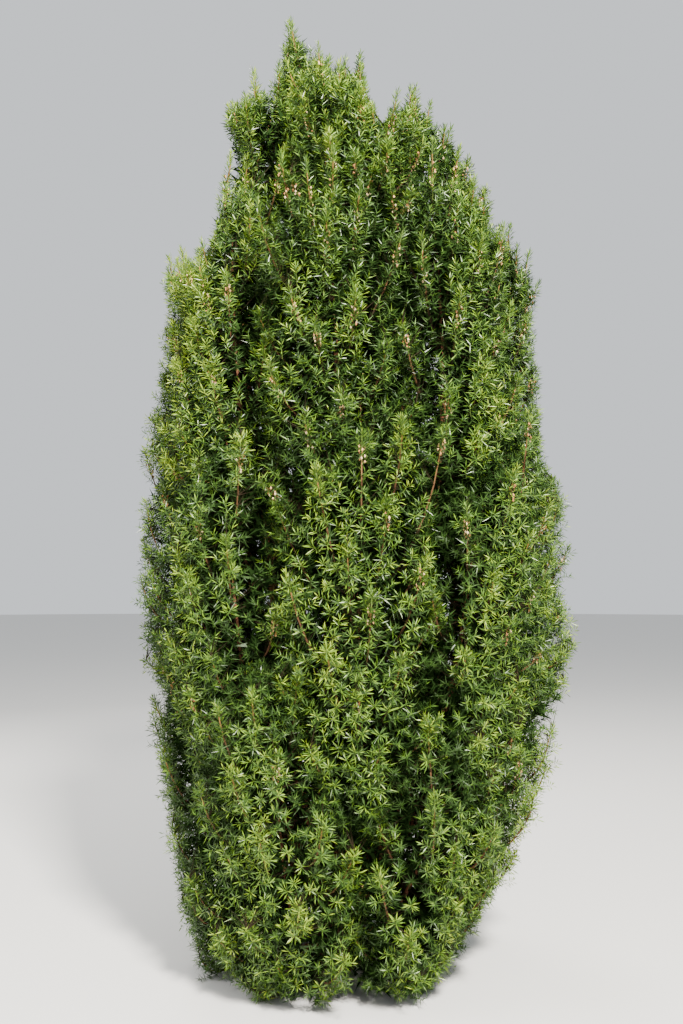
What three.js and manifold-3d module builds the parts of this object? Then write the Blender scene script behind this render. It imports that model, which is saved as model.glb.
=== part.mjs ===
// A columnar yew shrub, 4.17 m tall and 1.85 m wide. A short flared trunk, hidden low inside the shrub,
// forks into rings of upright boughs. Each bough carries one dense mass of foliage at its tip, and the
// masses stand side by side round a bare middle, as on the real plant: a skirt near the ground, a waist,
// a shoulder, and a crest with the peak. Millimetres, +Z up, origin on the flat cut at ground level,
// front towards -Y.

import * as THREE from "three";
import { mergeVertices } from "three/addons/utils/BufferGeometryUtils.js";
import Module from "manifold-3d";

const wasm = await Module();
wasm.setup();

// The crown's outline from the ground to the tip: half its width, and how far its middle stands to the
// right of the trunk.
const OUTLINE = [
  { z: 0, half: 545, shift: -20 },
  { z: 300, half: 680, shift: 20 },
  { z: 700, half: 800, shift: 60 },
  { z: 1200, half: 905, shift: 112 },
  { z: 1700, half: 930, shift: 112 },
  { z: 2200, half: 875, shift: 82 },
  { z: 2700, half: 820, shift: 55 },
  { z: 3080, half: 790, shift: 50 },
  { z: 3250, half: 640, shift: 75 },
  { z: 3400, half: 570, shift: 55 },
  { z: 3620, half: 520, shift: 20 },
  { z: 3760, half: 450, shift: -40 },
  { z: 3960, half: 220, shift: -80 },
  { z: 4170, half: 60, shift: -175 },
];
const CROWN_DEPTH = 0.95; // front to back, over side to side
const OUTWARD = 1.07; // the masses stand out this much, since only their tips reach their skin
const LOWEST_TIP = 12; // no needle reaches nearer to the ground

// The trunk, up to its fork. The flare is what the roots add to its radius at the ground, and it fades
// upwards.
const TRUNK = {
  height: 420, radius: 92, narrowing: 0.12, fluting: 0.05, lean: 26, sides: 15, steps: 5,
  flare: 50, flareFade: 6, lobes: 5, lobeDepth: 0.35,
};

// A bough, as shares of its ring's radius at each end and of its length where its bends pull, and the
// stem inside a mass that it hands on to, as shares of the mass's half length and half depth.
const BOUGH = { foot: 1.12, tip: 0.7, bend: 0.3, sides: 5, steps: 4 };
const STEM = {
  foot: -0.84, bend: -0.2, tip: 0.66, inward: 0.55, thinning: 0.6, sides: 5, steps: 3, margin: 24,
};
const JOINT_GAP = 0.3; // between a limb and what carries it
const BARK_CLEARANCE = 8; // between a limb and foliage that isn't its own
const BALL_SPACING = 30; // between the balls that stand for a limb when sprays are kept clear of it

// Rings of masses. foot and top are heights, spread is how far they vary, deep and wide are half sizes
// away from the middle and round it, and tuck is how far the foot stands in behind the ring below. turn
// is the first mass's bearing in degrees, twigs is their number, and bough is the bough's radius. root
// says where the boughs start in the trunk: how far out, how high, and how many degrees from upright.
const RINGS = [
  {
    name: "skirt", count: 6, foot: 10, top: 1240, deep: 240, wide: 400, tuck: 0, spread: 70,
    turn: -60, twigs: 6, bough: 17, root: [40, 100, 68],
  },
  {
    name: "waist", count: 8, foot: 540, top: 2340, deep: 260, wide: 350, tuck: 60, spread: 110,
    turn: -93, twigs: 8, bough: 24, root: [40, 170, 42],
  },
  {
    name: "shoulder", count: 8, foot: 1660, top: 3240, deep: 250, wide: 325, tuck: 60, spread: 60,
    turn: -93, twigs: 7, bough: 25, root: [46, 255, 27],
  },
  {
    name: "crest", count: 4, foot: 2540, top: 3900, deep: 230, wide: 290, tuck: 40, spread: 70,
    turn: -90, twigs: 7, bough: 20, root: [50, 388, 5],
  },
  {
    name: "peak", count: 1, foot: 2760, top: 4170, deep: 220, wide: 220, tuck: 0, spread: 0,
    turn: 180, twigs: 7, bough: 20, root: [0, 385, 1],
  },
];
const BEARING_WOBBLE = 7; // degrees

// The rule that masses keep to their own space by: each is a blunt spindle, cut by flat planes from its
// neighbours.
const BLUNTNESS = 2.8; // 2 is an ellipsoid, and more is blunter
const STRETCH = 2.9; // how much taller than wide the cells are
const CELL_GAP = 9; // between two masses

// Foliage: the core's share of its spindle, and one spray of needles as a blade with five teeth.
const CORE = { deep: 0.5, wide: 0.7, along: 0.94, round: 8, rings: 7, taper: 0.35, ragged: 0.13, margin: 14 };
const SPRAY = {
  length: 410, thick: 0.055, apex: 0.32, cup: 0.5, // the last three as shares of the length
  loose: 1.45, // how far the teeth may pass the spindle's skin
  lowTilt: 50, highTilt: 19, // degrees from upright, for the lowest and the highest spray
  sizes: [1, 0.9, 0.8, 0.7, 0.6, 0.5], drawnIn: [0, 0.07, 0.14, 0.21, 0.28], // tried in turn until one fits
};
const TEETH = [
  // degrees from the spray's own line, and reach as a share of its length
  [0, 0.68],
  [13, 0.34],
  [28, 0.6],
  [44, 0.3],
  [62, 0.48],
];

// Twigs leave the stem from low to high, as shares of the mass's half length. outerBias crowds them on
// the crown's outer side, climb is how far below its spray a twig starts, and roll turns a spray about
// its own line, in radians.
const TWIG = { low: -0.5, high: 0.95, radius: 11, outerBias: 0.55, climb: 0.12, roll: 0.5, unevenness: 0.05 };
const GOLDEN_TURN = Math.PI * (3 - Math.sqrt(5));

const FINEST = 0.002; // corners nearer than this count as one
const EASE = 0.04; // how far such corners are moved apart
const ATTEMPTS = 12;

const UP = new THREE.Vector3(0, 0, 1);
const radians = THREE.MathUtils.degToRad;

const barkMaterial = new THREE.MeshStandardMaterial({ color: 0x6a4433, roughness: 0.9, metalness: 0 });
const boughMaterial = new THREE.MeshStandardMaterial({ color: 0x83543a, roughness: 0.85, metalness: 0 });
const foliageMaterial = new THREE.MeshStandardMaterial({ color: 0x3c5a24, roughness: 0.55, metalness: 0 });

// Chance from 0 to 1 that a seed always gives again.
function chance(seed) {
  const spun = Math.sin(seed * 12.9898 + 4.1414) * 43758.5453;
  return spun - Math.floor(spun);
}

// The same from -1 to 1.
function wobble(seed) {
  return 2 * chance(seed) - 1;
}

// Half width and shift of the crown's outline at height z.
function outlineAt(z) {
  const i = Math.max(1, OUTLINE.findIndex((p) => p.z >= z));
  const [low, high] = [OUTLINE[i - 1], OUTLINE[i]];
  const share = THREE.MathUtils.clamp((z - low.z) / (high.z - low.z), 0, 1);
  return {
    half: THREE.MathUtils.lerp(low.half, high.half, share),
    shift: THREE.MathUtils.lerp(low.shift, high.shift, share),
  };
}

// The point at height z on a bearing, that far inside the crown's outline and never past its middle.
function insideCrown(bearing, z, inset) {
  const { half, shift } = outlineAt(z);
  const out = Math.max(0, OUTWARD * half - inset);
  return new THREE.Vector3(shift + out * Math.cos(bearing), CROWN_DEPTH * out * Math.sin(bearing), z);
}

// Where each mass of foliage stands: its middle, its three axes with their half sizes, and its ring's
// values.
function placeMasses() {
  const masses = [];
  for (const [tier, ring] of RINGS.entries()) {
    for (let k = 0; k < ring.count; k++) {
      const seed = 100 * tier + k + 1;
      const bearing = radians(ring.turn + (360 * k) / ring.count + BEARING_WOBBLE * wobble(seed));
      const drop = ring.spread * wobble(seed + 0.5);
      const [foot, top] = [ring.foot + (tier > 0 ? drop : 0), ring.top + drop];
      const inset = ring.count > 1 ? ring.deep : Infinity;
      const low = insideCrown(bearing, THREE.MathUtils.lerp(foot, top, 0.2), inset + ring.tuck);
      const high = insideCrown(bearing, THREE.MathUtils.lerp(foot, top, 0.8), inset);
      const along = high.clone().sub(low).normalize();
      const middle = low.clone().lerp(high, 0.5);
      const round = new THREE.Vector3(-Math.sin(bearing), Math.cos(bearing), 0);
      round.addScaledVector(along, -round.dot(along)).normalize();
      const out = round.clone().cross(along).normalize();
      const long = (top - foot) / 2 / along.z;
      const label = `${ring.name}_${k + 1}`;
      masses.push({ ...ring, seed, bearing, middle, along, round, out, long, label });
    }
  }
  for (const mass of masses) mass.stem = stemCurve(mass, masses);
  return masses;
}

// How far p lies inside a mass's spindle: 0 at the middle, 1 on the skin.
function spindle(mass, p) {
  const d = p.clone().sub(mass.middle);
  const across = Math.hypot(d.dot(mass.out) / mass.deep, d.dot(mass.round) / mass.wide);
  const along = Math.abs(d.dot(mass.along)) / mass.long;
  return across ** BLUNTNESS + along ** BLUNTNESS;
}

// Distance from p to the plane between two masses, positive on the first one's side.
function sideOf(mass, other, p) {
  const power = (m) => {
    const d = p.clone().sub(m.middle);
    return d.x ** 2 + d.y ** 2 + (d.z / STRETCH) ** 2 - m.wide * m.deep;
  };
  const apart = other.middle.clone().sub(mass.middle);
  apart.z /= STRETCH ** 2;
  return (power(other) - power(mass)) / (2 * apart.length());
}

// True where p is in the mass's own space, and at least the margin away from its flat sides. Teeth may
// pass its skin a little, which loose allows.
function isWithin(mass, p, masses, margin = 0, loose = 1) {
  return (
    p.z >= LOWEST_TIP + margin &&
    spindle(mass, p) <= loose &&
    masses.every((other) => other.label === mass.label || sideOf(mass, other, p) >= CELL_GAP / 2 + margin)
  );
}

// The last point of the mass's own space on the straight way from one point to another, found by halving.
function reachTowards(mass, from, to, masses, margin = 0) {
  let [inside, outside] = [0, 1];
  if (isWithin(mass, to, masses, margin)) return to.clone();
  for (let i = 0; i < 12; i++) {
    const share = (inside + outside) / 2;
    if (isWithin(mass, from.clone().lerp(to, share), masses, margin)) inside = share;
    else outside = share;
  }
  return from.clone().lerp(to, inside);
}

// A closed three.js geometry as a solid that can be joined and cut.
function solidOf(geometry) {
  const bare = geometry.clone();
  bare.deleteAttribute("normal");
  bare.deleteAttribute("uv");
  const merged = mergeVertices(bare, FINEST / 2);
  const position = merged.getAttribute("position");
  return new wasm.Manifold(
    new wasm.Mesh({
      numProp: 3,
      vertProperties: Float32Array.from(position.array),
      triVerts: Uint32Array.from(merged.index.array),
    }),
  );
}

// The largest closed body of a solid, with any hollow that joining sealed filled and any scrap dropped.
function mainBody(solid) {
  return solid.decompose().reduce((best, body) => (body.volume() > best.volume() ? body : best));
}

// A solid back as a three.js geometry.
function geometryOf(solid) {
  const mesh = solid.getMesh();
  const geometry = new THREE.BufferGeometry();
  geometry.setAttribute("position", new THREE.BufferAttribute(Float32Array.from(mesh.vertProperties), 3));
  geometry.setIndex(new THREE.BufferAttribute(Uint32Array.from(mesh.triVerts), 1));
  geometry.computeVertexNormals();
  return geometry;
}

// A limb along a curve: a cylinder bent onto the curve, with its radius given at each share of the
// length.
function limbGeometry(curve, radiusAt, sides, steps) {
  const geometry = new THREE.CylinderGeometry(1, 1, 1, sides, steps);
  const frames = curve.computeFrenetFrames(steps);
  const position = geometry.getAttribute("position");
  for (let i = 0; i < position.count; i++) {
    const share = 0.5 - position.getY(i);
    const step = Math.round(share * steps);
    const radius = radiusAt(share);
    const p = curve.getPointAt(share);
    p.addScaledVector(frames.normals[step], position.getX(i) * radius);
    p.addScaledVector(frames.binormals[step], position.getZ(i) * radius);
    position.setXYZ(i, p.x, p.y, p.z);
  }
  return geometry;
}

// The trunk, from its flat cut at the ground to its fork, with root lobes in the flare. skin makes it
// that much fatter.
function trunkGeometry(skin = 0) {
  const geometry = new THREE.CylinderGeometry(1, 1, 1, TRUNK.sides, TRUNK.steps);
  geometry.rotateX(Math.PI / 2);
  const position = geometry.getAttribute("position");
  for (let i = 0; i < position.count; i++) {
    const share = position.getZ(i) + 0.5;
    const bearing = Math.atan2(position.getY(i), position.getX(i));
    const lobes = 1 + TRUNK.lobeDepth * Math.cos(TRUNK.lobes * bearing);
    const flare = TRUNK.flare * Math.exp(-TRUNK.flareFade * share) * lobes;
    const flutes = TRUNK.fluting * Math.sin(3 * bearing + 4 * share);
    const waist = TRUNK.radius * (1 - TRUNK.narrowing * share + flutes);
    const onAxis = Math.hypot(position.getX(i), position.getY(i)) < 0.5;
    const radius = onAxis ? 0 : waist + flare + skin;
    position.setX(i, radius * Math.cos(bearing) + TRUNK.lean * share);
    position.setY(i, radius * Math.sin(bearing));
    position.setZ(i, share * (TRUNK.height + skin));
  }
  return geometry;
}

// The stem inside a mass, from low on the inner side of its space to near the top of its middle line.
function stemCurve(mass, masses) {
  const along = (share) => mass.middle.clone().addScaledVector(mass.along, share * mass.long);
  const inward = mass.count > 1 ? STEM.inward * mass.deep : 0;
  const points = [along(STEM.foot).addScaledVector(mass.out, -inward), along(STEM.bend), along(STEM.tip)];
  return new THREE.QuadraticBezierCurve3(
    ...points.map((point) => reachTowards(mass, mass.middle, point, masses, STEM.margin)),
  );
}

// The bough that carries a mass: out of the trunk, up through the bare middle, and onto the line of the
// mass's stem.
function boughCurve(mass, gap) {
  const [outward, height, slant] = mass.root;
  const arrive = mass.stem.getTangentAt(0);
  const end = mass.stem.v0.clone().addScaledVector(arrive, -gap);
  const start = new THREE.Vector3(TRUNK.lean * (height / TRUNK.height), 0, height);
  const away = end.clone().sub(start).setZ(0).normalize();
  start.addScaledVector(away, outward);
  const leave = away.multiplyScalar(Math.sin(radians(slant))).addScaledVector(UP, Math.cos(radians(slant)));
  const span = start.distanceTo(end);
  return new THREE.CubicBezierCurve3(
    start,
    start.clone().addScaledVector(leave, BOUGH.bend * span),
    end.clone().addScaledVector(arrive, -BOUGH.bend * span),
    end,
  );
}

// Radius of a mass's bough at a share of its length.
function boughRadius(mass, share) {
  return mass.bough * THREE.MathUtils.lerp(BOUGH.foot, BOUGH.tip, share);
}

// The ragged inner mass that the sprays stand out of.
function coreGeometry(mass, masses) {
  const geometry = new THREE.SphereGeometry(1, CORE.round, CORE.rings).rotateX(Math.PI / 2);
  geometry.deleteAttribute("normal");
  geometry.deleteAttribute("uv");
  const merged = mergeVertices(geometry, FINEST);
  const position = merged.getAttribute("position");
  for (let i = 0; i < position.count; i++) {
    const [x, y, z] = [position.getX(i), position.getY(i), position.getZ(i)];
    const blunt = (Math.hypot(x, y) ** BLUNTNESS + Math.abs(z) ** BLUNTNESS) ** (-1 / BLUNTNESS);
    const size = blunt * (1 + CORE.ragged * wobble(mass.seed + 7.3 * i));
    const skin = mass.middle.clone();
    const slim = 1 - CORE.taper * Math.max(0, z) ** 2;
    skin.addScaledVector(mass.out, x * size * slim * CORE.deep * mass.deep);
    skin.addScaledVector(mass.round, y * size * slim * CORE.wide * mass.wide);
    skin.addScaledVector(mass.along, z * size * CORE.along * mass.long);
    const kept = reachTowards(mass, mass.middle, skin, masses, CORE.margin);
    position.setXYZ(i, kept.x, kept.y, kept.z);
  }
  return merged;
}

// One spray's outline from its root up the right side and down the left, cupped round the mass: across,
// along, back.
function sprayOutline() {
  const tooth = ([turn, reach]) => {
    const across = Math.sin(radians(turn)) * reach;
    return [across, SPRAY.apex + Math.cos(radians(turn)) * reach, -SPRAY.cup * across ** 2];
  };
  const right = TEETH.map(tooth);
  const left = right.slice(1).map(([x, y, z]) => [-x, y, z]);
  return [[0, 0, 0], ...right.reverse(), ...left];
}

// A spray as a flat toothed blade with a raised middle, its root at the origin, running along +Y and
// facing +Z.
function sprayGeometry() {
  const outline = sprayOutline();
  const geometry = new THREE.SphereGeometry(1, outline.length, 2);
  const position = geometry.getAttribute("position");
  for (let i = 0; i < position.count; i++) {
    const pole = position.getY(i);
    if (Math.abs(pole) > 0.5) {
      position.setXYZ(i, 0, SPRAY.apex, (Math.sign(pole) * SPRAY.thick) / 2);
      continue;
    }
    const turn = Math.atan2(position.getZ(i), -position.getX(i)) / (2 * Math.PI);
    const at = Math.round((turn + 1) * outline.length) % outline.length;
    position.setXYZ(i, ...outline[at]);
  }
  return geometry;
}

// The turn and place that put a spray's root at a point, running in a direction and facing outwards.
function sprayPlace(root, direction, facing, length) {
  const across = direction.clone().cross(facing).normalize();
  const face = across.clone().cross(direction).normalize();
  const size = new THREE.Vector3(length, length, length);
  return new THREE.Matrix4().makeBasis(across, direction, face).scale(size).setPosition(root);
}

// True if every tooth of a placed spray lies in the mass's own space and clear of the limbs.
function sprayFits(place, mass, masses, limbs) {
  const faces = [-1, 1].map((side) => [0, SPRAY.apex, (side * SPRAY.thick) / 2]);
  const corners = [...sprayOutline(), ...faces];
  const points = corners.map((corner) => new THREE.Vector3(...corner).applyMatrix4(place));
  if (!points.every((p) => isWithin(mass, p, masses, 0, SPRAY.loose))) return false;
  return limbs.every((limb) =>
    limb.points.every(({ at, radius }) => points.every((p) => p.distanceTo(at) > radius + BARK_CLEARANCE)),
  );
}

// A spray with its tip at a point of the mass's skin, drawn in and made smaller until it fits. Null where
// none does.
function fitSpray(mass, tip, direction, facing, masses, limbs) {
  const level = tip.clone().sub(mass.middle).dot(mass.along);
  const middle = mass.middle.clone().addScaledVector(mass.along, level);
  for (const size of SPRAY.sizes) {
    for (const drawnIn of SPRAY.drawnIn) {
      const length = SPRAY.length * size;
      const root = tip.clone().lerp(middle, drawnIn).addScaledVector(direction, -length);
      const place = sprayPlace(root, direction, facing, length);
      if (sprayFits(place, mass, masses, limbs)) return { place, root, length };
    }
  }
  return null;
}

// A three-sided twig from a point in the stem to a point in the spray that it carries.
function twigGeometry(from, to) {
  const length = from.distanceTo(to);
  const geometry = new THREE.ConeGeometry(TWIG.radius, length, 3).translate(0, length / 2, 0);
  const direction = to.clone().sub(from).normalize();
  const turn = new THREE.Quaternion().setFromUnitVectors(new THREE.Vector3(0, 1, 0), direction);
  return geometry.applyQuaternion(turn).translate(from.x, from.y, from.z);
}

// The twigs of a mass and their sprays: twigs leave the stem by the golden turn, closer together on the
// crown's outer side, rise to the skin and end in a spray. What won't fit is left out.
function growTwigs(mass, masses, limbs) {
  const blade = sprayGeometry();
  const solids = [];
  for (let k = 0; k <= mass.twigs; k++) {
    const seed = 40 * mass.seed + k;
    const share = k / mass.twigs;
    const turn = k * GOLDEN_TURN + mass.seed;
    const bearing = turn - TWIG.outerBias * Math.sin(turn);
    const level = THREE.MathUtils.lerp(TWIG.low, TWIG.high, share) + TWIG.unevenness * wobble(seed + 0.3);
    const skin = Math.max(0, 1 - Math.abs(level) ** BLUNTNESS) ** (1 / BLUNTNESS);
    const middle = mass.middle.clone().addScaledVector(mass.along, level * mass.long);
    const target = middle.clone();
    target.addScaledVector(mass.out, Math.cos(bearing) * skin * mass.deep);
    target.addScaledVector(mass.round, Math.sin(bearing) * skin * mass.wide);
    const tip = reachTowards(mass, middle, target, masses);
    const facing = mass.out.clone().multiplyScalar(Math.cos(bearing));
    facing.addScaledVector(mass.round, Math.sin(bearing));
    const tilt = radians(THREE.MathUtils.lerp(SPRAY.lowTilt, SPRAY.highTilt, share ** 0.7));
    const direction = facing.clone().multiplyScalar(Math.sin(tilt)).addScaledVector(UP, Math.cos(tilt));
    direction.normalize();
    facing.applyAxisAngle(direction, TWIG.roll * wobble(seed + 0.7));
    const spray = fitSpray(mass, tip, direction, facing, masses, limbs);
    if (!spray) continue;
    const from = mass.stem.getPointAt(Math.max(0, share - TWIG.climb));
    const to = spray.root.clone().addScaledVector(direction, SPRAY.apex * spray.length);
    solids.push(solidOf(twigGeometry(from, to)));
    solids.push(solidOf(blade.clone().applyMatrix4(spray.place)));
  }
  return solids;
}

// The corners of a solid, and for each corner the corners that share an edge with it.
function cornersOf(solid) {
  const { vertProperties, triVerts } = solid.getMesh();
  const corners = [];
  for (let i = 0; i < vertProperties.length; i += 3) {
    corners.push(new THREE.Vector3().fromArray(vertProperties, i));
  }
  const around = corners.map(() => new Set());
  for (let t = 0; t < triVerts.length; t += 3) {
    for (const side of [0, 1, 2]) around[triVerts[t + side]].add(triVerts[t + ((side + 1) % 3)]);
  }
  return { corners, around, triVerts };
}

// A solid whose corners that fall on one another are eased apart, each a hair towards its own neighbours.
function easedApart(solid) {
  const { corners, around, triVerts } = cornersOf(solid);
  corners.forEach((corner, i) => {
    if (!corners.slice(0, i).some((other) => other.distanceTo(corner) < FINEST)) return;
    const middle = new THREE.Vector3();
    for (const j of around[i]) middle.addScaledVector(corners[j], 1 / around[i].size);
    corner.addScaledVector(middle.sub(corner).normalize(), EASE);
  });
  const vertProperties = Float32Array.from(corners.flatMap((corner) => corner.toArray()));
  return new wasm.Manifold(new wasm.Mesh({ numProp: 3, vertProperties, triVerts }));
}

// True if a solid stays the same one body when its corners are rounded.
function isSound(solid) {
  const again = solidOf(geometryOf(solid));
  return again.decompose().length === 1 && again.numVert() === solid.numVert();
}

// One mass of foliage: stem, core, twigs and sprays joined into one body, then cut clear of every limb's
// sleeve. Where sprays only just touch, the mass is grown again from the next seed.
function massSolid(mass, masses, limbs) {
  const stemRadius = (share) => boughRadius(mass, 1) * (1 - STEM.thinning * share);
  for (let attempt = 0; attempt < ATTEMPTS; attempt++) {
    const grown = { ...mass, seed: mass.seed + 1000 * attempt };
    const parts = [
      solidOf(limbGeometry(mass.stem, stemRadius, STEM.sides, STEM.steps)),
      solidOf(coreGeometry(grown, masses)),
      ...growTwigs(grown, masses, limbs),
    ];
    let whole = mainBody(wasm.Manifold.union(parts));
    for (const limb of limbs) {
      if (whole.intersect(limb.sleeve).volume() > 0) whole = mainBody(whole.subtract(limb.sleeve));
    }
    const eased = easedApart(whole);
    if (isSound(eased)) return eased;
  }
  throw new Error(`${mass.label} has sprays that only just touch`);
}

// A bough's middle line as a row of balls, for keeping sprays clear of it.
function limbBalls(mass) {
  const curve = boughCurve(mass, JOINT_GAP);
  const count = Math.ceil(curve.getLength() / BALL_SPACING);
  const ball = (_, i) => ({ at: curve.getPointAt(i / count), radius: boughRadius(mass, i / count) });
  return Array.from({ length: count + 1 }, ball);
}

// The bough of each mass, cut off the trunk's skin, with a slightly fatter sleeve that foliage is cut
// clear of.
function growBoughs(masses) {
  const trunkSleeve = solidOf(trunkGeometry(JOINT_GAP * 1.1));
  return masses.map((mass) => {
    const limb = (gap, skin) => {
      const radiusAt = (share) => boughRadius(mass, share) + skin;
      return solidOf(limbGeometry(boughCurve(mass, gap), radiusAt, BOUGH.sides, BOUGH.steps));
    };
    return {
      mass,
      solid: mainBody(limb(JOINT_GAP, 0).subtract(trunkSleeve)),
      sleeve: limb(JOINT_GAP / 2, JOINT_GAP * 2),
      points: limbBalls(mass),
    };
  });
}

// A solid as a named mesh.
function meshOf(name, solid, material) {
  const mesh = new THREE.Mesh(geometryOf(solid), material);
  mesh.name = name;
  return mesh;
}

// The whole shrub: trunk, boughs and masses.
function growShrub() {
  const shrub = new THREE.Group();
  const masses = placeMasses();
  const limbs = growBoughs(masses);
  shrub.add(meshOf("trunk", solidOf(trunkGeometry()), barkMaterial));
  for (const limb of limbs) shrub.add(meshOf(`bough_${limb.mass.label}`, limb.solid, boughMaterial));
  for (const mass of masses) {
    shrub.add(meshOf(`foliage_${mass.label}`, massSolid(mass, masses, limbs), foliageMaterial));
  }
  return shrub;
}

export default growShrub();
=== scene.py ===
"""A tall columnar yew shrub, dressed for a close look.

It grows here by the same seeded rule as its solids: a short flared trunk, rings of upright boughs, a stem
in each mass of foliage, and leaders that climb from the stem to the mass's skin. The rule is carried
further: leaders bear short shoots all round, and shoots bear needles. Metres, +Z up, front towards -Y,
origin on the flat cut at ground level.
"""

import logging
import math
from dataclasses import dataclass, field
from enum import Enum

import bpy
import numpy as np
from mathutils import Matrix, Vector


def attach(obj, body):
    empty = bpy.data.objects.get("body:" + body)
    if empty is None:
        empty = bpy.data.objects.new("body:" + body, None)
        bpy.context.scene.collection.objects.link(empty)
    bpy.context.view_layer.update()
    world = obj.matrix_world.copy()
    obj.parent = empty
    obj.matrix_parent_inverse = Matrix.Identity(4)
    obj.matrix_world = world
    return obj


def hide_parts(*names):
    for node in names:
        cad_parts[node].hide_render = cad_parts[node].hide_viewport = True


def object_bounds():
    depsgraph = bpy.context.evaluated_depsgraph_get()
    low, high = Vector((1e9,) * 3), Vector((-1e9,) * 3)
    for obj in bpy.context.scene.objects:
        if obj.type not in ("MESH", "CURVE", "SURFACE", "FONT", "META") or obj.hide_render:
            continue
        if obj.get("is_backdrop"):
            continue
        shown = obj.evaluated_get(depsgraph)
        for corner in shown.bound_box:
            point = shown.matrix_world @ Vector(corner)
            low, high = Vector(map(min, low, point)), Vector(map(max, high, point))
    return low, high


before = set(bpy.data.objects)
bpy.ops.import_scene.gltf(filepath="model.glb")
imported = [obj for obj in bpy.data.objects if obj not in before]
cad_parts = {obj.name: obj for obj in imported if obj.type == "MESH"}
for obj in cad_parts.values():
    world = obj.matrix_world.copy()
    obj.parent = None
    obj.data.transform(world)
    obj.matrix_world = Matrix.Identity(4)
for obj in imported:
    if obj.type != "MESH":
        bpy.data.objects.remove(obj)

log = logging.getLogger("yew_shrub")

Array = np.ndarray
Values = Array | float
Triple = tuple[float, float, float]
Surface = tuple[Array, ...]
Tree = bpy.types.NodeTree
Material = bpy.types.Material
Node = bpy.types.Node
Object = bpy.types.Object
GOLDEN_TURN = math.pi * (3 - math.sqrt(5))
UP = np.array([0.0, 0.0, 1.0])
LEVEL = np.array([1.0, 1.0, 0.0])
ORIGIN: Triple = (0.0, 0.0, 0.0)


# Seeded chance and small helpers


def chance(seed: Values) -> Array:
    """Gives each seed its own value from 0 to 1: the fraction of sin(12.9898 seed + 4.1414) 43758.5453."""
    value = np.sin(np.asarray(seed, dtype=float) * 12.9898 + 4.1414) * 43758.5453
    return value - np.floor(value)


def wobble(seed: Values) -> Array:
    """Gives the same chance from -1 to 1."""
    return 2 * chance(seed) - 1


def mix(low: Values, high: Values, share: Values) -> Values:
    """Runs in a straight line from low at share 0 to high at share 1."""
    return low + (high - low) * share


def ramp(values: Values, start: float, width: float) -> Array:
    """Climbs from 0 at start to 1 at start + width, and is level before and after."""
    return np.clip((values - start) / width, 0, 1)


def eased(share: Array) -> Array:
    """Rounds off both ends of a ramp, as share squared times (3 - 2 share)."""
    return share * share * (3 - 2 * share)


def unit(vectors: Array) -> Array:
    """Scales each vector to length 1."""
    return vectors / np.maximum(np.linalg.norm(vectors, axis=-1, keepdims=True), 1e-12)


def spun(first: Array, second: Array, turn: Array) -> Array:
    """Turns from first towards second: first cos(turn) + second sin(turn)."""
    return first * np.cos(turn)[:, None] + second * np.sin(turn)[:, None]


def across_frames(axes: Array) -> tuple[Array, Array]:
    """Finds two directions square to each unit vector and to each other."""
    helper = np.where(np.abs(axes[..., 2:3]) < 0.9, UP, np.array([1.0, 0.0, 0.0]))
    first = unit(np.cross(helper, axes))
    return first, np.cross(axes, first)


def radials(axes: Array, owner: Array, turn: Array) -> Array:
    """Gives a direction square to each owner's axis, at its own turn round it."""
    first, second = across_frames(axes)
    return spun(first[owner], second[owner], turn)


def bezier(points: Array, shares: Array) -> Array:
    """Evaluates Bezier curves of any degree by repeated mixing of neighbouring control points.

    Args:
        points: control points, shaped (..., degree + 1, 3).
        shares: where along the curve, shaped (count,).

    Returns:
        Points shaped (..., count, 3).
    """
    level = np.repeat(points[..., None, :, :], len(shares), axis=-3)
    while level.shape[-2] > 1:
        level = mix(level[..., :-1, :], level[..., 1:, :], shares[:, None, None])
    return level[..., 0, :]


def even_steps(points: Array, shares: Array) -> Array:
    """Evaluates one Bezier curve at even shares of its length, found from running sums of 200 chords."""
    fine = np.linspace(0, 1, 201)
    chords = np.linalg.norm(np.diff(bezier(points, fine), axis=0), axis=1)
    run = np.concatenate([[0.0], np.cumsum(chords)])
    return bezier(points, np.interp(shares * run[-1], run, fine))


# Finishes


def add_node(
    tree: Tree, kind: str, values: dict[str | int, object] | None = None, **traits: object
) -> Node:
    """Adds a node to a tree.

    Args:
        tree: the tree.
        kind: the node's type.
        values: constant values for its inputs.
        traits: its own settings, made first.

    Returns:
        The node.
    """
    node = tree.nodes.new(kind)
    for name, trait in traits.items():
        setattr(node, name, trait)
    for socket, value in (values or {}).items():
        node.inputs[socket].default_value = value
    return node


def add_links(tree: Tree, *links: tuple[Node, str, Node, str | int]) -> None:
    """Adds links to a tree, each given as source, output, target and input."""
    for source, output, target, entry in links:
        tree.links.new(source.outputs[output], target.inputs[entry])


def principled(name: str, shown: Triple, values: dict[str, object]) -> Material:
    """Makes a material with constant values on its Principled shader's own sockets.

    Args:
        name: its name.
        shown: its colour in the viewport.
        values: the values by socket.

    Returns:
        The material.
    """
    made = bpy.data.materials.new(name)
    made.use_nodes = True
    for socket, value in values.items():
        made.node_tree.nodes["Principled BSDF"].inputs[socket].default_value = value
    made.diffuse_color = (*shown, 1.0)
    return made


@dataclass(frozen=True)
class PlainFinish:
    """A finish with one colour all over, for small things that are dealt their colours by spray."""

    name: str
    color: Triple
    roughness: float
    specular: float

    def material(self) -> Material:
        """Makes the material."""
        values = {"Base Color": (*self.color, 1.0), "Roughness": self.roughness}
        return principled(self.name, self.color, {**values, "Specular IOR Level": self.specular})


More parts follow.
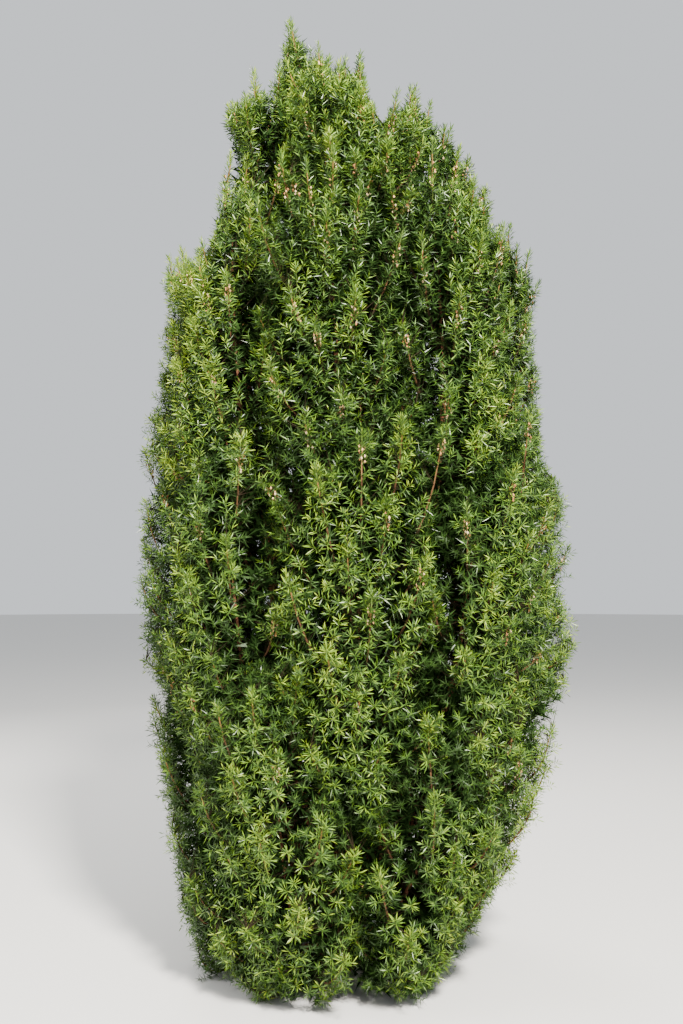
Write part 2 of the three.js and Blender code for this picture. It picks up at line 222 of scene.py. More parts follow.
# From the brightest new tips to the shaded inside: paler new growth, then the same needle green in ever
# deeper painted shade (deep, shade, dusk), dealt by each needle's brightness
NEEDLE_FINISHES = (
    PlainFinish("needle_gold", (0.215, 0.300, 0.022), 0.36, 0.36),
    PlainFinish("needle_fresh", (0.124, 0.212, 0.016), 0.34, 0.36),
    PlainFinish("needle_leaf", (0.068, 0.136, 0.014), 0.33, 0.36),
    PlainFinish("needle_deep", (0.035, 0.078, 0.011), 0.36, 0.30),
    PlainFinish("needle_shade", (0.022, 0.049, 0.009), 0.45, 0.18),
    PlainFinish("needle_dusk", (0.009, 0.020, 0.005), 0.90, 0.0),
)
TWIG_FINISHES = (
    PlainFinish("twig_new", (0.270, 0.140, 0.036), 0.6, 0.3),
    PlainFinish("twig_old", (0.120, 0.055, 0.022), 0.75, 0.3),
    PlainFinish("twig_dark", (0.020, 0.014, 0.007), 0.85, 0.1),
    PlainFinish("twig_green", (0.085, 0.130, 0.022), 0.6, 0.3),
)
TWIG_DARK = 2
TWIG_GREEN = 3
BUD_FINISHES = (
    PlainFinish("bud_tan", (0.560, 0.330, 0.140), 0.7, 0.3),
    PlainFinish("bud_pale", (0.620, 0.460, 0.250), 0.7, 0.3),
    PlainFinish("bud_rust", (0.380, 0.170, 0.060), 0.7, 0.3),
)


def bark_group() -> Tree:
    """Builds the shader group that gives yew bark its flakes, fissures and hue.

    Noise stretched along Z makes long peeling strips, cell edges make the fissures between flakes, and a
    fine noise makes the grain.

    Returns:
        The node group, with inputs Scale, Warm, Dark and outputs Color and Height.
    """
    group = bpy.data.node_groups.new("bark_flakes", "ShaderNodeTree")
    for name, side, kind in (
        ("Scale", "INPUT", "Float"), ("Warm", "INPUT", "Color"), ("Dark", "INPUT", "Color"),
        ("Color", "OUTPUT", "Color"), ("Height", "OUTPUT", "Float"),
    ):
        group.interface.new_socket(name, in_out=side, socket_type=f"NodeSocket{kind}")
    entry = add_node(group, "NodeGroupInput")
    leave = add_node(group, "NodeGroupOutput")
    place = add_node(group, "ShaderNodeTexCoord")
    stretch = add_node(group, "ShaderNodeMapping", {"Scale": (1.0, 1.0, 0.22)})
    flakes = add_node(group, "ShaderNodeTexVoronoi", feature="DISTANCE_TO_EDGE")
    strips = add_node(group, "ShaderNodeTexNoise", {"Detail": 6.0, "Roughness": 0.65})
    grain = add_node(group, "ShaderNodeTexNoise", {"Detail": 3.0})
    finer = add_node(group, "ShaderNodeMath", {1: 6.0}, operation="MULTIPLY")
    edge = add_node(group, "ShaderNodeMapRange", {"From Max": 0.12})
    tint = add_node(group, "ShaderNodeMix", data_type="RGBA")
    shade = add_node(group, "ShaderNodeMix", {"Factor": 0.7}, data_type="RGBA", blend_type="MULTIPLY")
    lift = add_node(group, "ShaderNodeMath", {1: 0.35}, operation="MULTIPLY_ADD")
    add_links(
        group,
        (place, "Object", stretch, "Vector"),
        (stretch, "Vector", flakes, "Vector"),
        (stretch, "Vector", strips, "Vector"),
        (stretch, "Vector", grain, "Vector"),
        (entry, "Scale", flakes, "Scale"),
        (entry, "Scale", strips, "Scale"),
        (entry, "Scale", finer, 0),
        (finer, "Value", grain, "Scale"),
        (flakes, "Distance", edge, "Value"),
        (strips, "Fac", tint, "Factor"),
        (entry, "Dark", tint, "A"),
        (entry, "Warm", tint, "B"),
        (tint, "Result", shade, "A"),
        (edge, "Result", shade, "B"),
        (shade, "Result", leave, "Color"),
        (grain, "Fac", lift, 0),
        (edge, "Result", lift, 2),
        (lift, "Value", leave, "Height"),
    )
    return group


@dataclass(frozen=True)
class BarkFinish:
    """Flaking reddish-brown bark, larger in scale on the trunk than on the boughs."""

    name: str
    scale: float
    warm: Triple
    dark: Triple
    relief: float
    roughness: float
    specular: float = 0.25
    strength: float = 0.6

    def material(self, group: Tree) -> Material:
        """Makes the material round the shared bark group.

        Args:
            group: the node group from bark_group.

        Returns:
            A material with the group's colour and a Bump node fed by its height.
        """
        values = {"Roughness": self.roughness, "Specular IOR Level": self.specular}
        made = principled(self.name, self.warm, values)
        tree = made.node_tree
        shader = tree.nodes["Principled BSDF"]
        inputs = {"Scale": self.scale, "Warm": (*self.warm, 1.0), "Dark": (*self.dark, 1.0)}
        bark = add_node(tree, "ShaderNodeGroup", inputs, node_tree=group)
        bump = add_node(tree, "ShaderNodeBump", {"Strength": self.strength, "Distance": self.relief})
        add_links(
            tree,
            (bark, "Color", shader, "Base Color"),
            (bark, "Height", bump, "Height"),
            (bump, "Normal", shader, "Normal"),
        )
        return made


TRUNK_BARK = BarkFinish("trunk_bark_flaking", 26.0, (0.23, 0.098, 0.055), (0.075, 0.036, 0.024), 6e-3, 0.85)
BOUGH_BARK = BarkFinish("bough_bark_scaly", 60.0, (0.3, 0.12, 0.055), (0.12, 0.05, 0.028), 2e-3, 0.8)


# Making meshes from arrays


def add_piece(
    name: str,
    surface: Surface,
    finishes: list[Material],
    replaced: list[str],
    smooth: bool = False,
) -> None:
    """Puts arrays into one mesh object that rides on the shrub's only body.

    Args:
        name: the piece's name.
        surface: vertices, triangles and, with several finishes, which of them each triangle takes.
        finishes: the materials.
        replaced: the CAD nodes that the piece stands for.
        smooth: whether the triangles shade smoothly into one another.
    """
    vertices, faces, *tones = surface
    mesh = bpy.data.meshes.new(name)
    mesh.vertices.add(len(vertices))
    mesh.vertices.foreach_set("co", np.ascontiguousarray(vertices, dtype=np.float32).ravel())
    mesh.loops.add(faces.size)
    mesh.loops.foreach_set("vertex_index", np.ascontiguousarray(faces, dtype=np.int32).ravel())
    mesh.polygons.add(len(faces))
    mesh.polygons.foreach_set("loop_start", np.arange(0, faces.size, 3, dtype=np.int32))
    for finish in finishes:
        mesh.materials.append(finish)
    for tone in tones:
        mesh.polygons.foreach_set("material_index", np.ascontiguousarray(tone, dtype=np.int32))
    mesh.polygons.foreach_set("use_smooth", np.full(len(faces), smooth))
    mesh.update(calc_edges=True)
    piece = placed(name, mesh)
    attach(piece, "root")
    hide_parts(*replaced)
    log.info("%s: %d triangles, stands for %d nodes", name, len(faces), len(replaced))


def placed(name: str, data: bpy.types.ID, place: Triple = ORIGIN, turn: Triple = ORIGIN) -> Object:
    """Puts an object into the scene.

    Args:
        name: its name.
        data: its mesh, light or camera.
        place: where it stands.
        turn: how it is turned, in radians.

    Returns:
        The object.
    """
    made = bpy.data.objects.new(name, data)
    made.location = place
    made.rotation_euler = turn
    bpy.context.scene.collection.objects.link(made)
    return made


def circle(sides: int) -> Array:
    """Gives even turns round a circle, in radians."""
    return np.arange(sides) * 2 * math.pi / sides


def repeated(one: Array, count: int, each: int) -> Array:
    """Repeats one shape's triangles for count shapes that have each so many vertices."""
    return (one[None] + np.arange(count)[:, None, None] * each).reshape(-1, 3)


def tube_faces(rows: int, sides: int) -> Array:
    """Lists the triangles of a tube.

    Args:
        rows: rings of vertices.
        sides: vertices in a ring.

    Returns:
        Triangles of the wall, then fans to the first and last point, whose numbers follow the rows.
    """
    ring = np.arange(rows * sides).reshape(rows, sides)
    after = np.roll(ring, -1, axis=1)
    first, last = np.full(sides, rows * sides), np.full(sides, rows * sides + 1)
    wall = [(ring[:-1], after[:-1], after[1:]), (ring[:-1], after[1:], ring[1:])]
    fans = [(after[0], ring[0], first), (ring[-1], after[-1], last)]
    return np.concatenate([np.stack(corners, -1).reshape(-1, 3) for corners in wall + fans])


def tube_surfaces(paths: Array, radii: Array, sides: int, relief: Values = 0.0) -> Surface:
    """Carries a round profile along each path and closes both ends.

    A point of the profile lies at path + (radius + relief) (cos a u + sin a v), where u and v are square
    to the path's own direction. Each end is closed by a fan to the path's end point.

    Args:
        paths: centre lines, shaped (tubes, steps, 3).
        radii: radii, shaped (tubes, steps).
        sides: how many sides the profile has.
        relief: height of the bark over the profile, shaped (tubes, steps, sides) or one number.

    Returns:
        Vertices and triangles.
    """
    tubes, steps, _ = paths.shape
    along = unit(np.gradient(paths, axis=1))
    helper = across_frames(unit(paths[:, -1] - paths[:, 0]))[0][:, None, :]
    first = unit(helper - np.sum(helper * along, axis=-1, keepdims=True) * along)
    spread = spun(first[:, :, None], np.cross(along, first)[:, :, None], circle(sides))
    skin = paths[:, :, None] + spread * (radii[:, :, None] + relief)[..., None]
    vertices = np.concatenate([skin.reshape(tubes, -1, 3), paths[:, :1], paths[:, -1:]], axis=1)
    return vertices.reshape(-1, 3), repeated(tube_faces(steps, sides), tubes, steps * sides + 2)


def spike_surfaces(roots: Array, tips: Array, radii: Array) -> Surface:
    """Makes a straight three-sided spike from each root to its tip.

    Args:
        roots: where each spike starts.
        tips: where each spike ends.
        radii: radius at the root.

    Returns:
        Vertices and triangles.
    """
    first, second = across_frames(unit(tips - roots))
    ring = roots[:, None] + radii[:, None, None] * spun(first[:, None], second[:, None], circle(3))
    vertices = np.concatenate([ring, tips[:, None]], axis=1).reshape(-1, 3)
    return vertices, repeated(np.array([[0, 1, 3], [1, 2, 3], [2, 0, 3]]), len(roots), 4)


def stacked(surfaces: list[Surface]) -> Surface:
    """Joins surfaces into one, and lifts what lies lower than LOWEST_POINT up to it.

    Args:
        surfaces: vertices, triangles and each triangle's tone or brightness.

    Returns:
        One surface of the same kind.
    """
    starts = np.cumsum([0] + [len(surface[0]) for surface in surfaces[:-1]])
    vertices, _, tones = (np.concatenate(part) for part in zip(*surfaces))
    vertices[:, 2] = np.maximum(vertices[:, 2], LOWEST_POINT)
    faces = np.concatenate([surface[1] + start for surface, start in zip(surfaces, starts)])
    return vertices, faces, tones


# The layout of the shrub, by the same rule and sizes as its solids


@dataclass(frozen=True)
class Ring:
    """One ring of masses, with sizes in metres and turns in degrees.

    foot and top are heights and spread is how far they vary. deep and wide are half sizes away from the
    middle and round it. tuck is how far the foot stands in behind the ring below. bough is the bough's
    radius, and root says how far out, how high and how many degrees from upright the boughs start. Each
    mass has that many leaders, from the level lowest up, the highest of which climb as far as beyond past
    its skin, and shoots.
    """

    name: str
    count: int
    foot: float
    top: float
    deep: float
    wide: float
    tuck: float
    spread: float
    turn: float
    bough: float
    root: Triple
    leaders: int
    lowest: float
    beyond: float
    shoots: int


RINGS = (
    Ring("skirt", 6, 0.01, 1.24, 0.24, 0.4, 0.0, 0.07, -60, 0.017, (0.04, 0.1, 68), 30, -0.86, 0.08, 560),
    Ring("waist", 8, 0.54, 2.34, 0.26, 0.35, 0.06, 0.11, -93, 0.024, (0.04, 0.17, 42), 34, -0.6, 0.18, 720),
    Ring(
        "shoulder", 8, 1.66, 3.24, 0.25, 0.325, 0.06, 0.06, -93, 0.025, (0.046, 0.255, 27),
        30, -0.6, 0.24, 570,
    ),
    Ring("crest", 4, 2.54, 3.9, 0.23, 0.29, 0.04, 0.07, -90, 0.02, (0.05, 0.388, 5), 30, -0.6, 0.32, 610),
    Ring("peak", 1, 2.76, 4.17, 0.22, 0.22, 0.0, 0.0, 180, 0.02, (0.0, 0.385, 1), 24, -0.6, 0.08, 500),
)

# The crown's outline: at each height its half width, and how far its middle line stands to the right
OUTLINE_HEIGHTS = [0.0, 0.30, 0.70, 1.20, 1.70, 2.20, 2.70, 3.08, 3.25, 3.40, 3.62, 3.76, 3.96, 4.17]
OUTLINE_HALVES = [0.545, 0.68, 0.8, 0.905, 0.93, 0.875, 0.82, 0.79, 0.64, 0.57, 0.52, 0.45, 0.22, 0.06]
OUTLINE_SHIFTS = (
    [-0.02, 0.02, 0.06, 0.112, 0.112, 0.082, 0.055, 0.05, 0.075, 0.055, 0.02, -0.04, -0.08, -0.175]
)

# How far its left and right rims bulge past that, in millimetres at each height
FIT_HEIGHTS = [0.0, 0.3, 0.6, 0.95, 1.1, 1.35, 1.6, 1.95, 2.15, 2.6, 2.8, 2.92, 3.03, 3.12, 3.3, 3.5, 3.7]
FIT_LEFT = np.array([-25, -45, -60, -50, -35, 25, 0, -10, 15, -50, -60, -25, -30, -30, -95, -60, -10])
FIT_RIGHT = np.array([-115, -80, -60, -90, -5, 50, -30, -15, -80, -70, -45, -15, -30, -30, -15, 0, 0])

# How high it stands at each place across: a ragged top, with a step at its left shoulder
CEILING_PLACES = (
    [-0.66, -0.58, -0.55, -0.52, -0.44, -0.34, -0.26, -0.21, -0.14, -0.08, 0.00, 0.07, 0.14]
    + [0.21, 0.26, 0.32, 0.40, 0.47, 0.54, 0.60, 0.66, 0.76, 0.82, 0.89, 0.94, 1.00]
)
CEILING_HEIGHTS = (
    [3.10, 3.17, 3.24, 3.87, 3.92, 3.97, 4.03, 4.25, 4.21, 4.11, 4.05, 4.10, 3.95]
    + [3.81, 3.79, 3.90, 3.86, 3.80, 3.73, 3.57, 3.44, 3.36, 3.25, 3.17, 2.96, 2.60]
)
# The photographer's eye, and how far the crown may reach
EYE_HEIGHT = 1.55
EYE_AWAY = 4.163
DEEPEST = 0.86
LEFTMOST = -0.855
CROWN_DEPTH = 0.95
OUTWARD = 1.07
LOWEST_TIP = 0.012
LOWEST_FITTED = 0.004
LOWEST_POINT = 0.002
BEARING_WOBBLE = 7.0
BLUNTNESS = 2.8
STRETCH = 2.9
CELL_GAP = 0.009
CORNER_FULLNESS = 0.12
HALVINGS = 12

# Where shoots change, each as a start and the width over which it happens: heights in metres, then crown
# shares. Shoots grow more upright, seams between masses close, hidden shoots stay for the top and its rim.
UPRIGHT_HEIGHTS = (1.8, 1.4)
SEAM_HEIGHTS = (3.1, 0.4)
TOP_HEIGHTS = (2.9, 0.3)
RIM_HEIGHTS = (3.0, 0.3)
TOP_SHARES = (0.45, 0.25)
RIM_SHARES = (0.76, 0.14)
FIT_SHARES = (0.55, 0.40)


def crown_line(height: Values) -> tuple[Values, Values]:
    """Gives the crown's half width and how far its middle line stands to the right, at each height."""
    half = np.interp(height, OUTLINE_HEIGHTS, OUTLINE_HALVES)
    return half, np.interp(height, OUTLINE_HEIGHTS, OUTLINE_SHIFTS)


@dataclass
class Mass:
    """One mass of foliage: a blunt spindle cut by flat planes from its neighbours."""

    ring: Ring
    label: str
    seed: int
    middle: Array
    along: Array
    round: Array
    out: Array
    long: float
    plane_normals: Array = field(init=False)
    plane_offsets: Array = field(init=False)
    stem: Array = field(init=False)

    def cut_from(self, others: list["Mass"]) -> None:
        """Works out the planes between this mass and the others.

        On a plane the two masses' powers are equal: squared distance with Z shrunk by STRETCH, less wide
        times deep.

        Args:
            others: the other masses.
        """
        shrink = np.array([1.0, 1.0, 1 / STRETCH**2])
        middles = np.array([other.middle for other in others])
        weights = np.array([other.ring.wide * other.ring.deep for other in others])
        apart = (middles - self.middle) * shrink
        length = np.linalg.norm(apart, axis=1)
        own = np.sum(self.middle**2 * shrink) - self.ring.wide * self.ring.deep
        powers = np.sum(middles**2 * shrink, axis=1) - weights
        self.plane_normals = -apart / length[:, None]
        self.plane_offsets = (powers - own) / (2 * length)

    def spindle(self, points: Array) -> Array:
        """Measures how far points lie out in the spindle, from 0 at its middle to 1 on its skin."""
        d = points - self.middle
        across = np.hypot(d @ self.out / self.ring.deep, d @ self.round / self.ring.wide)
        return across**BLUNTNESS + (np.abs(d @ self.along) / self.long) ** BLUNTNESS

    def room(self, points: Array) -> Array:
        """Gives points' distances to the nearest of the planes, less half the gap between masses."""
        return np.min(points @ self.plane_normals.T + self.plane_offsets, axis=-1) - CELL_GAP / 2

    def holds(self, points: Array, margin: float, loose: float) -> Array:
        """Tells which points lie in the mass's own space, with margin and loose as for reach."""
        above = points[..., 2] >= LOWEST_TIP + margin
        return above & (self.spindle(points) <= loose) & (self.room(points) >= margin)

    def reach(self, start: Array, end: Array, margin: float, loose: float = 1.0) -> Array:
        """Finds the last points of the space on straight ways from start to end, by halving.

        Args:
            start: where each way starts, inside the space.
            end: where each way would end.
            margin: how far the points stay from the flat sides.
            loose: how far they may pass the spindle's skin, where 1 is not at all.

        Returns:
            The points reached.
        """
        inside = np.zeros(end.shape[:-1])
        outside = np.ones(end.shape[:-1])
        done = self.holds(end, margin, loose)
        for _ in range(HALVINGS):
            share = (inside + outside) / 2
            good = self.holds(mix(start, end, share[..., None]), margin, loose)
            inside, outside = np.where(good, share, inside), np.where(good, outside, share)
        return np.where(done[..., None], end, mix(start, end, inside[..., None]))

    def grow_stem(self) -> None:
        """Lays the stem's control points from low on the inner side to near the top of the middle line."""
        inward = 0.55 * self.ring.deep if self.ring.count > 1 else 0.0
        levels = np.array([-0.84, -0.2, 0.66])[:, None]
        points = self.middle + self.along * levels * self.long
        points[0] -= self.out * inward
        self.stem = self.reach(np.broadcast_to(self.middle, (3, 3)), points, margin=0.024)

    def bough_radius(self, share: Values) -> Values:
        """Gives the radius of the mass's bough at a share of its length."""
        return self.ring.bough * mix(1.12, 0.7, share)

    def bough(self, height: float = 0.42, lean: float = 0.026, gap: float = 0.0003) -> Array:
        """Lays the bough's four control points: out of the trunk, up the bare middle, onto the stem's line.

        Args:
            height: height of the trunk's fork.
            lean: how far the trunk leans at its fork.
            gap: how far short of the stem the bough ends.

        Returns:
            Control points, shaped (4, 3).
        """
        outward, start_height, slant = self.ring.root
        arrive = unit(self.stem[1] - self.stem[0])
        end = self.stem[0] - arrive * gap
        start = np.array([lean * start_height / height, 0.0, start_height])
        away = unit((end - start) * LEVEL)
        start = start + away * outward
        leave = away * math.sin(math.radians(slant)) + UP * math.cos(math.radians(slant))
        span = np.linalg.norm(end - start)
        return np.array([start, start + leave * 0.3 * span, end - arrive * 0.3 * span, end])


class Layout:
    """Where every mass of the shrub stands."""

    def __init__(self) -> None:
        """Places the masses of every ring, cuts their spaces and lays their stems."""
        self.masses = [
            self._place(tier, ring, k) for tier, ring in enumerate(RINGS) for k in range(ring.count)
        ]
        for mass in self.masses:
            mass.cut_from([other for other in self.masses if other is not mass])
            mass.grow_stem()

    @staticmethod
    def inside_crown(bearing: float, z: float, inset: float) -> Array:
        """Finds the point at height z on a bearing, that far inside the crown's outline.

        Args:
            bearing: in radians from +X.
            z: height.
            inset: distance inside the outline, never past its middle.

        Returns:
            The point.
        """
        half, shift = crown_line(z)
        out = max(0.0, OUTWARD * half - inset)
        return np.array([shift + out * math.cos(bearing), CROWN_DEPTH * out * math.sin(bearing), z])

    def _place(self, tier: int, ring: Ring, k: int) -> Mass:
        """Places one mass of a ring.

        Args:
            tier: the ring's number from the ground.
            ring: the ring.
            k: the mass's number in the ring.

        Returns:
            The mass, with its middle and its three axes.
        """
        seed = 100 * tier + k + 1
        bearing = math.radians(ring.turn + 360 * k / ring.count + BEARING_WOBBLE * float(wobble(seed)))
        drop = ring.spread * float(wobble(seed + 0.5))
        foot = ring.foot + (drop if tier > 0 else 0.0)
        top = ring.top + drop
        inset = ring.deep if ring.count > 1 else math.inf
        low = self.inside_crown(bearing, mix(foot, top, 0.2), inset + ring.tuck)
        high = self.inside_crown(bearing, mix(foot, top, 0.8), inset)
        along = unit(high - low)
        flat = np.array([-math.sin(bearing), math.cos(bearing), 0.0])
        round_ = unit(flat - along * (flat @ along))
        out = unit(np.cross(round_, along))
        long = (top - foot) / 2 / along[2]
        return Mass(ring, f"{ring.name}_{k + 1}", seed, (low + high) / 2, along, round_, out, long)

    def of_ring(self, *names: str) -> list[Mass]:
        """Gives the masses of the named rings."""
        return [mass for mass in self.masses if mass.ring.name in names]


# The trunk and its boughs


@dataclass
class Trunk:
    """The short trunk with root lobes in its flare, from the flat cut at the ground to the fork."""

    height: float = 0.42
    radius: float = 0.092
    narrowing: float = 0.12
    fluting: float = 0.05
    lean: float = 0.026
    flare: float = 0.050
    flare_fade: float = 6.0
    lobes: int = 5
    lobe_depth: float = 0.35
    relief: float = 0.0035
    around: int = 96
    rows: int = 56

    def surface(self) -> Surface:
        """Computes the trunk on a grid of bearing and height.

        The radius is the waist, narrowing upwards with soft flutes, plus a flare that fades as exp(-6
        share) and swells at the root lobes, plus strips of bark that run up in long waves. The rim at the
        fork is rounded in, and the cut at the ground is closed flat.

        Returns:
            Vertices and triangles.
        """
        share = np.linspace(0, 1, self.rows)[:, None]
        bearing = circle(self.around)[None]
        lobes = 1 + self.lobe_depth * np.cos(self.lobes * bearing)
        flare = self.flare * np.exp(-self.flare_fade * share) * lobes
        flutes = self.fluting * np.sin(3 * bearing + 4 * share)
        waist = self.radius * (1 - self.narrowing * share + flutes)
        strips = np.sin(17 * bearing + 5 * np.sin(9 * share + 2 * bearing))
        strips = strips * np.sin(23 * share + 3 * bearing)
        rim = np.sqrt(np.clip(1 - ramp(share, 0.93, 0.07) ** 2, 0.05, 1))
        radius = (waist + flare + self.relief * (strips - 1)) * rim
        x = radius * np.cos(bearing) + self.lean * share
        y = radius * np.sin(bearing)
        z = np.broadcast_to(self.height * share, x.shape)
        ends = np.array([[0.0, 0.0, 0.0], [self.lean, 0.0, self.height]])
        grid = np.stack([x, y, z], -1).reshape(-1, 3)
        return np.concatenate([grid, ends]), tube_faces(self.rows, self.around)

    def build(self, group: Tree) -> None:
        """Builds the trunk with its flaking bark."""
        finish = TRUNK_BARK.material(group)
        add_piece("trunk_bark", self.surface(), [finish], ["trunk"], smooth=True)


@dataclass
class Boughs:
    """The boughs, and the stem that each hands on to inside its mass."""

    layout: Layout
    sides: int = 12
    stem_sides: int = 8
    steps: int = 32
    relief: float = 0.0016

    def build(self, group: Tree) -> None:
        """Builds all boughs as one piece and all inner stems as another.

        The bark's relief is a product of two sine waves, one round the limb and one along it. On the
        stems it is 0.6 times as high.

        Args:
            group: the node group from bark_group.
        """
        finish = BOUGH_BARK.material(group)
        share = np.linspace(0, 1, self.steps)
        masses = self.layout.masses
        number = np.arange(len(masses))[:, None, None]
        waves = np.sin(3 * circle(self.sides)[None, None] + 40 * share[None, :, None] + number)
        relief = -self.relief * (0.6 + 0.4 * waves * np.sin(90 * share)[None, :, None])
        limbs = np.array([bezier(mass.bough(), share) for mass in masses])
        radii = np.array([mass.bough_radius(share) for mass in masses])
        stems = np.array([bezier(mass.stem, share) for mass in masses])
        thinning = np.array([mass.bough_radius(1.0) * (1 - 0.8 * share) for mass in masses])
        thin_relief = relief[:, :, : self.stem_sides] * 0.6
        for name, node, surface in (
            ("bough_bark", "bough", tube_surfaces(limbs, radii, self.sides, relief)),
            ("stem_bark", "foliage", tube_surfaces(stems, thinning, self.stem_sides, thin_relief)),
        ):
            nodes = [f"{node}_{mass.label}" for mass in masses]
            add_piece(name, surface, [finish], nodes, smooth=True)


# Foliage: leaders, shoots and needles


def crown_share(points: Array) -> Array:
    """Gives how far out points lie, from 0 on the crown's middle line to 1 on its outline or 0.25 m out."""
    half, shift = crown_line(points[..., 2])
    return np.hypot(points[..., 0] - shift, points[..., 1] / CROWN_DEPTH) / np.maximum(half, 0.25)


def fitted(points: Array) -> Array:
    """Moves foliage near the crown's left and right rims so that they bulge and narrow as the real ones do.

    A point's distance from the middle line grows by its side's FIT value over the crown's half width,
    weighted by a smooth step from 0.55 to 0.95 of that half. The values go by the height that a point
    seems to have on the plane through the trunk, seen from the front at a standing person's eye. What
    reaches further to the front or back than DEEPEST, or further left than LEFTMOST, goes only half as
    far past it, and nothing goes below the ground.

    Args:
        points: points, shaped (..., 3).

    Returns:
        The moved points.
    """
    height = points[..., 2]
    half, shift = crown_line(height)
    side = points[..., 0] - shift
    weight = eased(ramp(np.abs(side) / half, *FIT_SHARES))
    seen = EYE_HEIGHT + (height - EYE_HEIGHT) * EYE_AWAY / (EYE_AWAY + points[..., 1])
    left, right = (np.interp(seen, FIT_HEIGHTS, pulls / 1000) for pulls in (FIT_LEFT, FIT_RIGHT))
    moved = points.copy()
    depth = np.abs(moved[..., 1])
    moved[..., 1] = np.sign(moved[..., 1]) * np.where(depth > DEEPEST, (depth + DEEPEST) / 2, depth)
    moved[..., 0] += side * weight * np.clip(np.where(side < 0, left, right) / half, -0.5, 0.5)
    moved[..., 2] = np.maximum(height, LOWEST_FITTED)
    moved[..., 0] += np.maximum(LEFTMOST - moved[..., 0], 0) / 2
    return moved


def ceiling(points: Array) -> Array:
    """Gives how high foliage may stand at points' places across, as these seem from the front."""
    away = (EYE_AWAY + points[..., 1]) / EYE_AWAY
    height = np.interp(points[..., 0] / away, CEILING_PLACES, CEILING_HEIGHTS)
    return EYE_HEIGHT + (height - EYE_HEIGHT) * away


@dataclass
class Leaders:
    """Long twigs from a mass's stem to its skin: paths, their plumes' brightness and shares of height."""

    paths: Array
    glow: Array
    share: Array


@dataclass
class Shoots:
    """Short shoots: the place on a leader that bears each, its start, end, brightness and seed."""

    bearers: Array
    roots: Array
    tips: Array
    glow: Array
    seeds: Array

    def parts(self) -> Surface:
        """Gives the five arrays."""
        return self.bearers, self.roots, self.tips, self.glow, self.seeds

    @staticmethod
    def joined(groups: list["Shoots"]) -> "Shoots":
        """Joins several groups of shoots into one."""
        return Shoots(*(np.concatenate(part) for part in zip(*(group.parts() for group in groups))))

    def kept(self, which: Array) -> "Shoots":
        """Gives only the shoots that which marks."""
        return Shoots(*(part[which] for part in self.parts()))

    def fitted(self) -> "Shoots":
        """Gives the shoots fitted to the crown's real rims."""
        return Shoots(fitted(self.bearers), fitted(self.roots), fitted(self.tips), self.glow, self.seeds)


class Facing(Enum):
    """Where on a mass a layer of shoots grows."""

    ROUND = 0
    SIDEWAYS = 1
    INWARD = 2


@dataclass(frozen=True)
class Layer:
    """One layer of shoots under a mass's skin.

    density is its share of the ring's shoots. near and far are how deep its shoots' tips lie, as shares
    of the way from the middle line to the skin. painted_shade is taken off their brightness: painted shade
    that darkens the deeper layers. groove is how far the layer falls back between plumes, and thinned the
    share of shoots left out there. hidden is the share kept where a mass presses on its neighbours or faces
    the bare middle. overlap is how far it may reach in among the neighbours. facing is where it grows,
    limit how far out in the crown, and top the highest level of the mass.
    """

    density: float
    near: float
    far: float
    length: tuple[float, float]
    # painted shade taken off the layer's brightness
    painted_shade: float
    groove: float
    thinned: float
    hidden: float
    overlap: float
    facing: Facing = Facing.ROUND
    limit: float = 2.0
    top: float = 0.975


OUTER = Layer(0.92, 0.99, 0.88, (0.050, 0.080), 0.0, 0.060, 0.20, 0.22, 0.045)
MIDDLE = Layer(0.70, 0.92, 0.70, (0.060, 0.095), 0.35, 0.050, 0.0, 0.6, 0.060)
# INNER, CORE and VEIL are large near-black blades set deep in the crown where there is only shade: painted
# shade, which also closes the crown against seeing through
INNER = Layer(0.36, 0.66, 0.34, (0.110, 0.150), 1.2, 0.0, 0.0, 1.0, 0.060, top=0.80)
CORE = Layer(0.20, 1.90, 0.70, (0.110, 0.150), 1.4, 0.0, 0.0, 1.0, 0.060, Facing.INWARD, 0.66, 0.60)
VEIL = Layer(0.26, 1.20, 0.60, (0.110, 0.150), 1.4, 0.0, 0.0, 1.0, 0.120, Facing.SIDEWAYS, 0.84, 0.55)


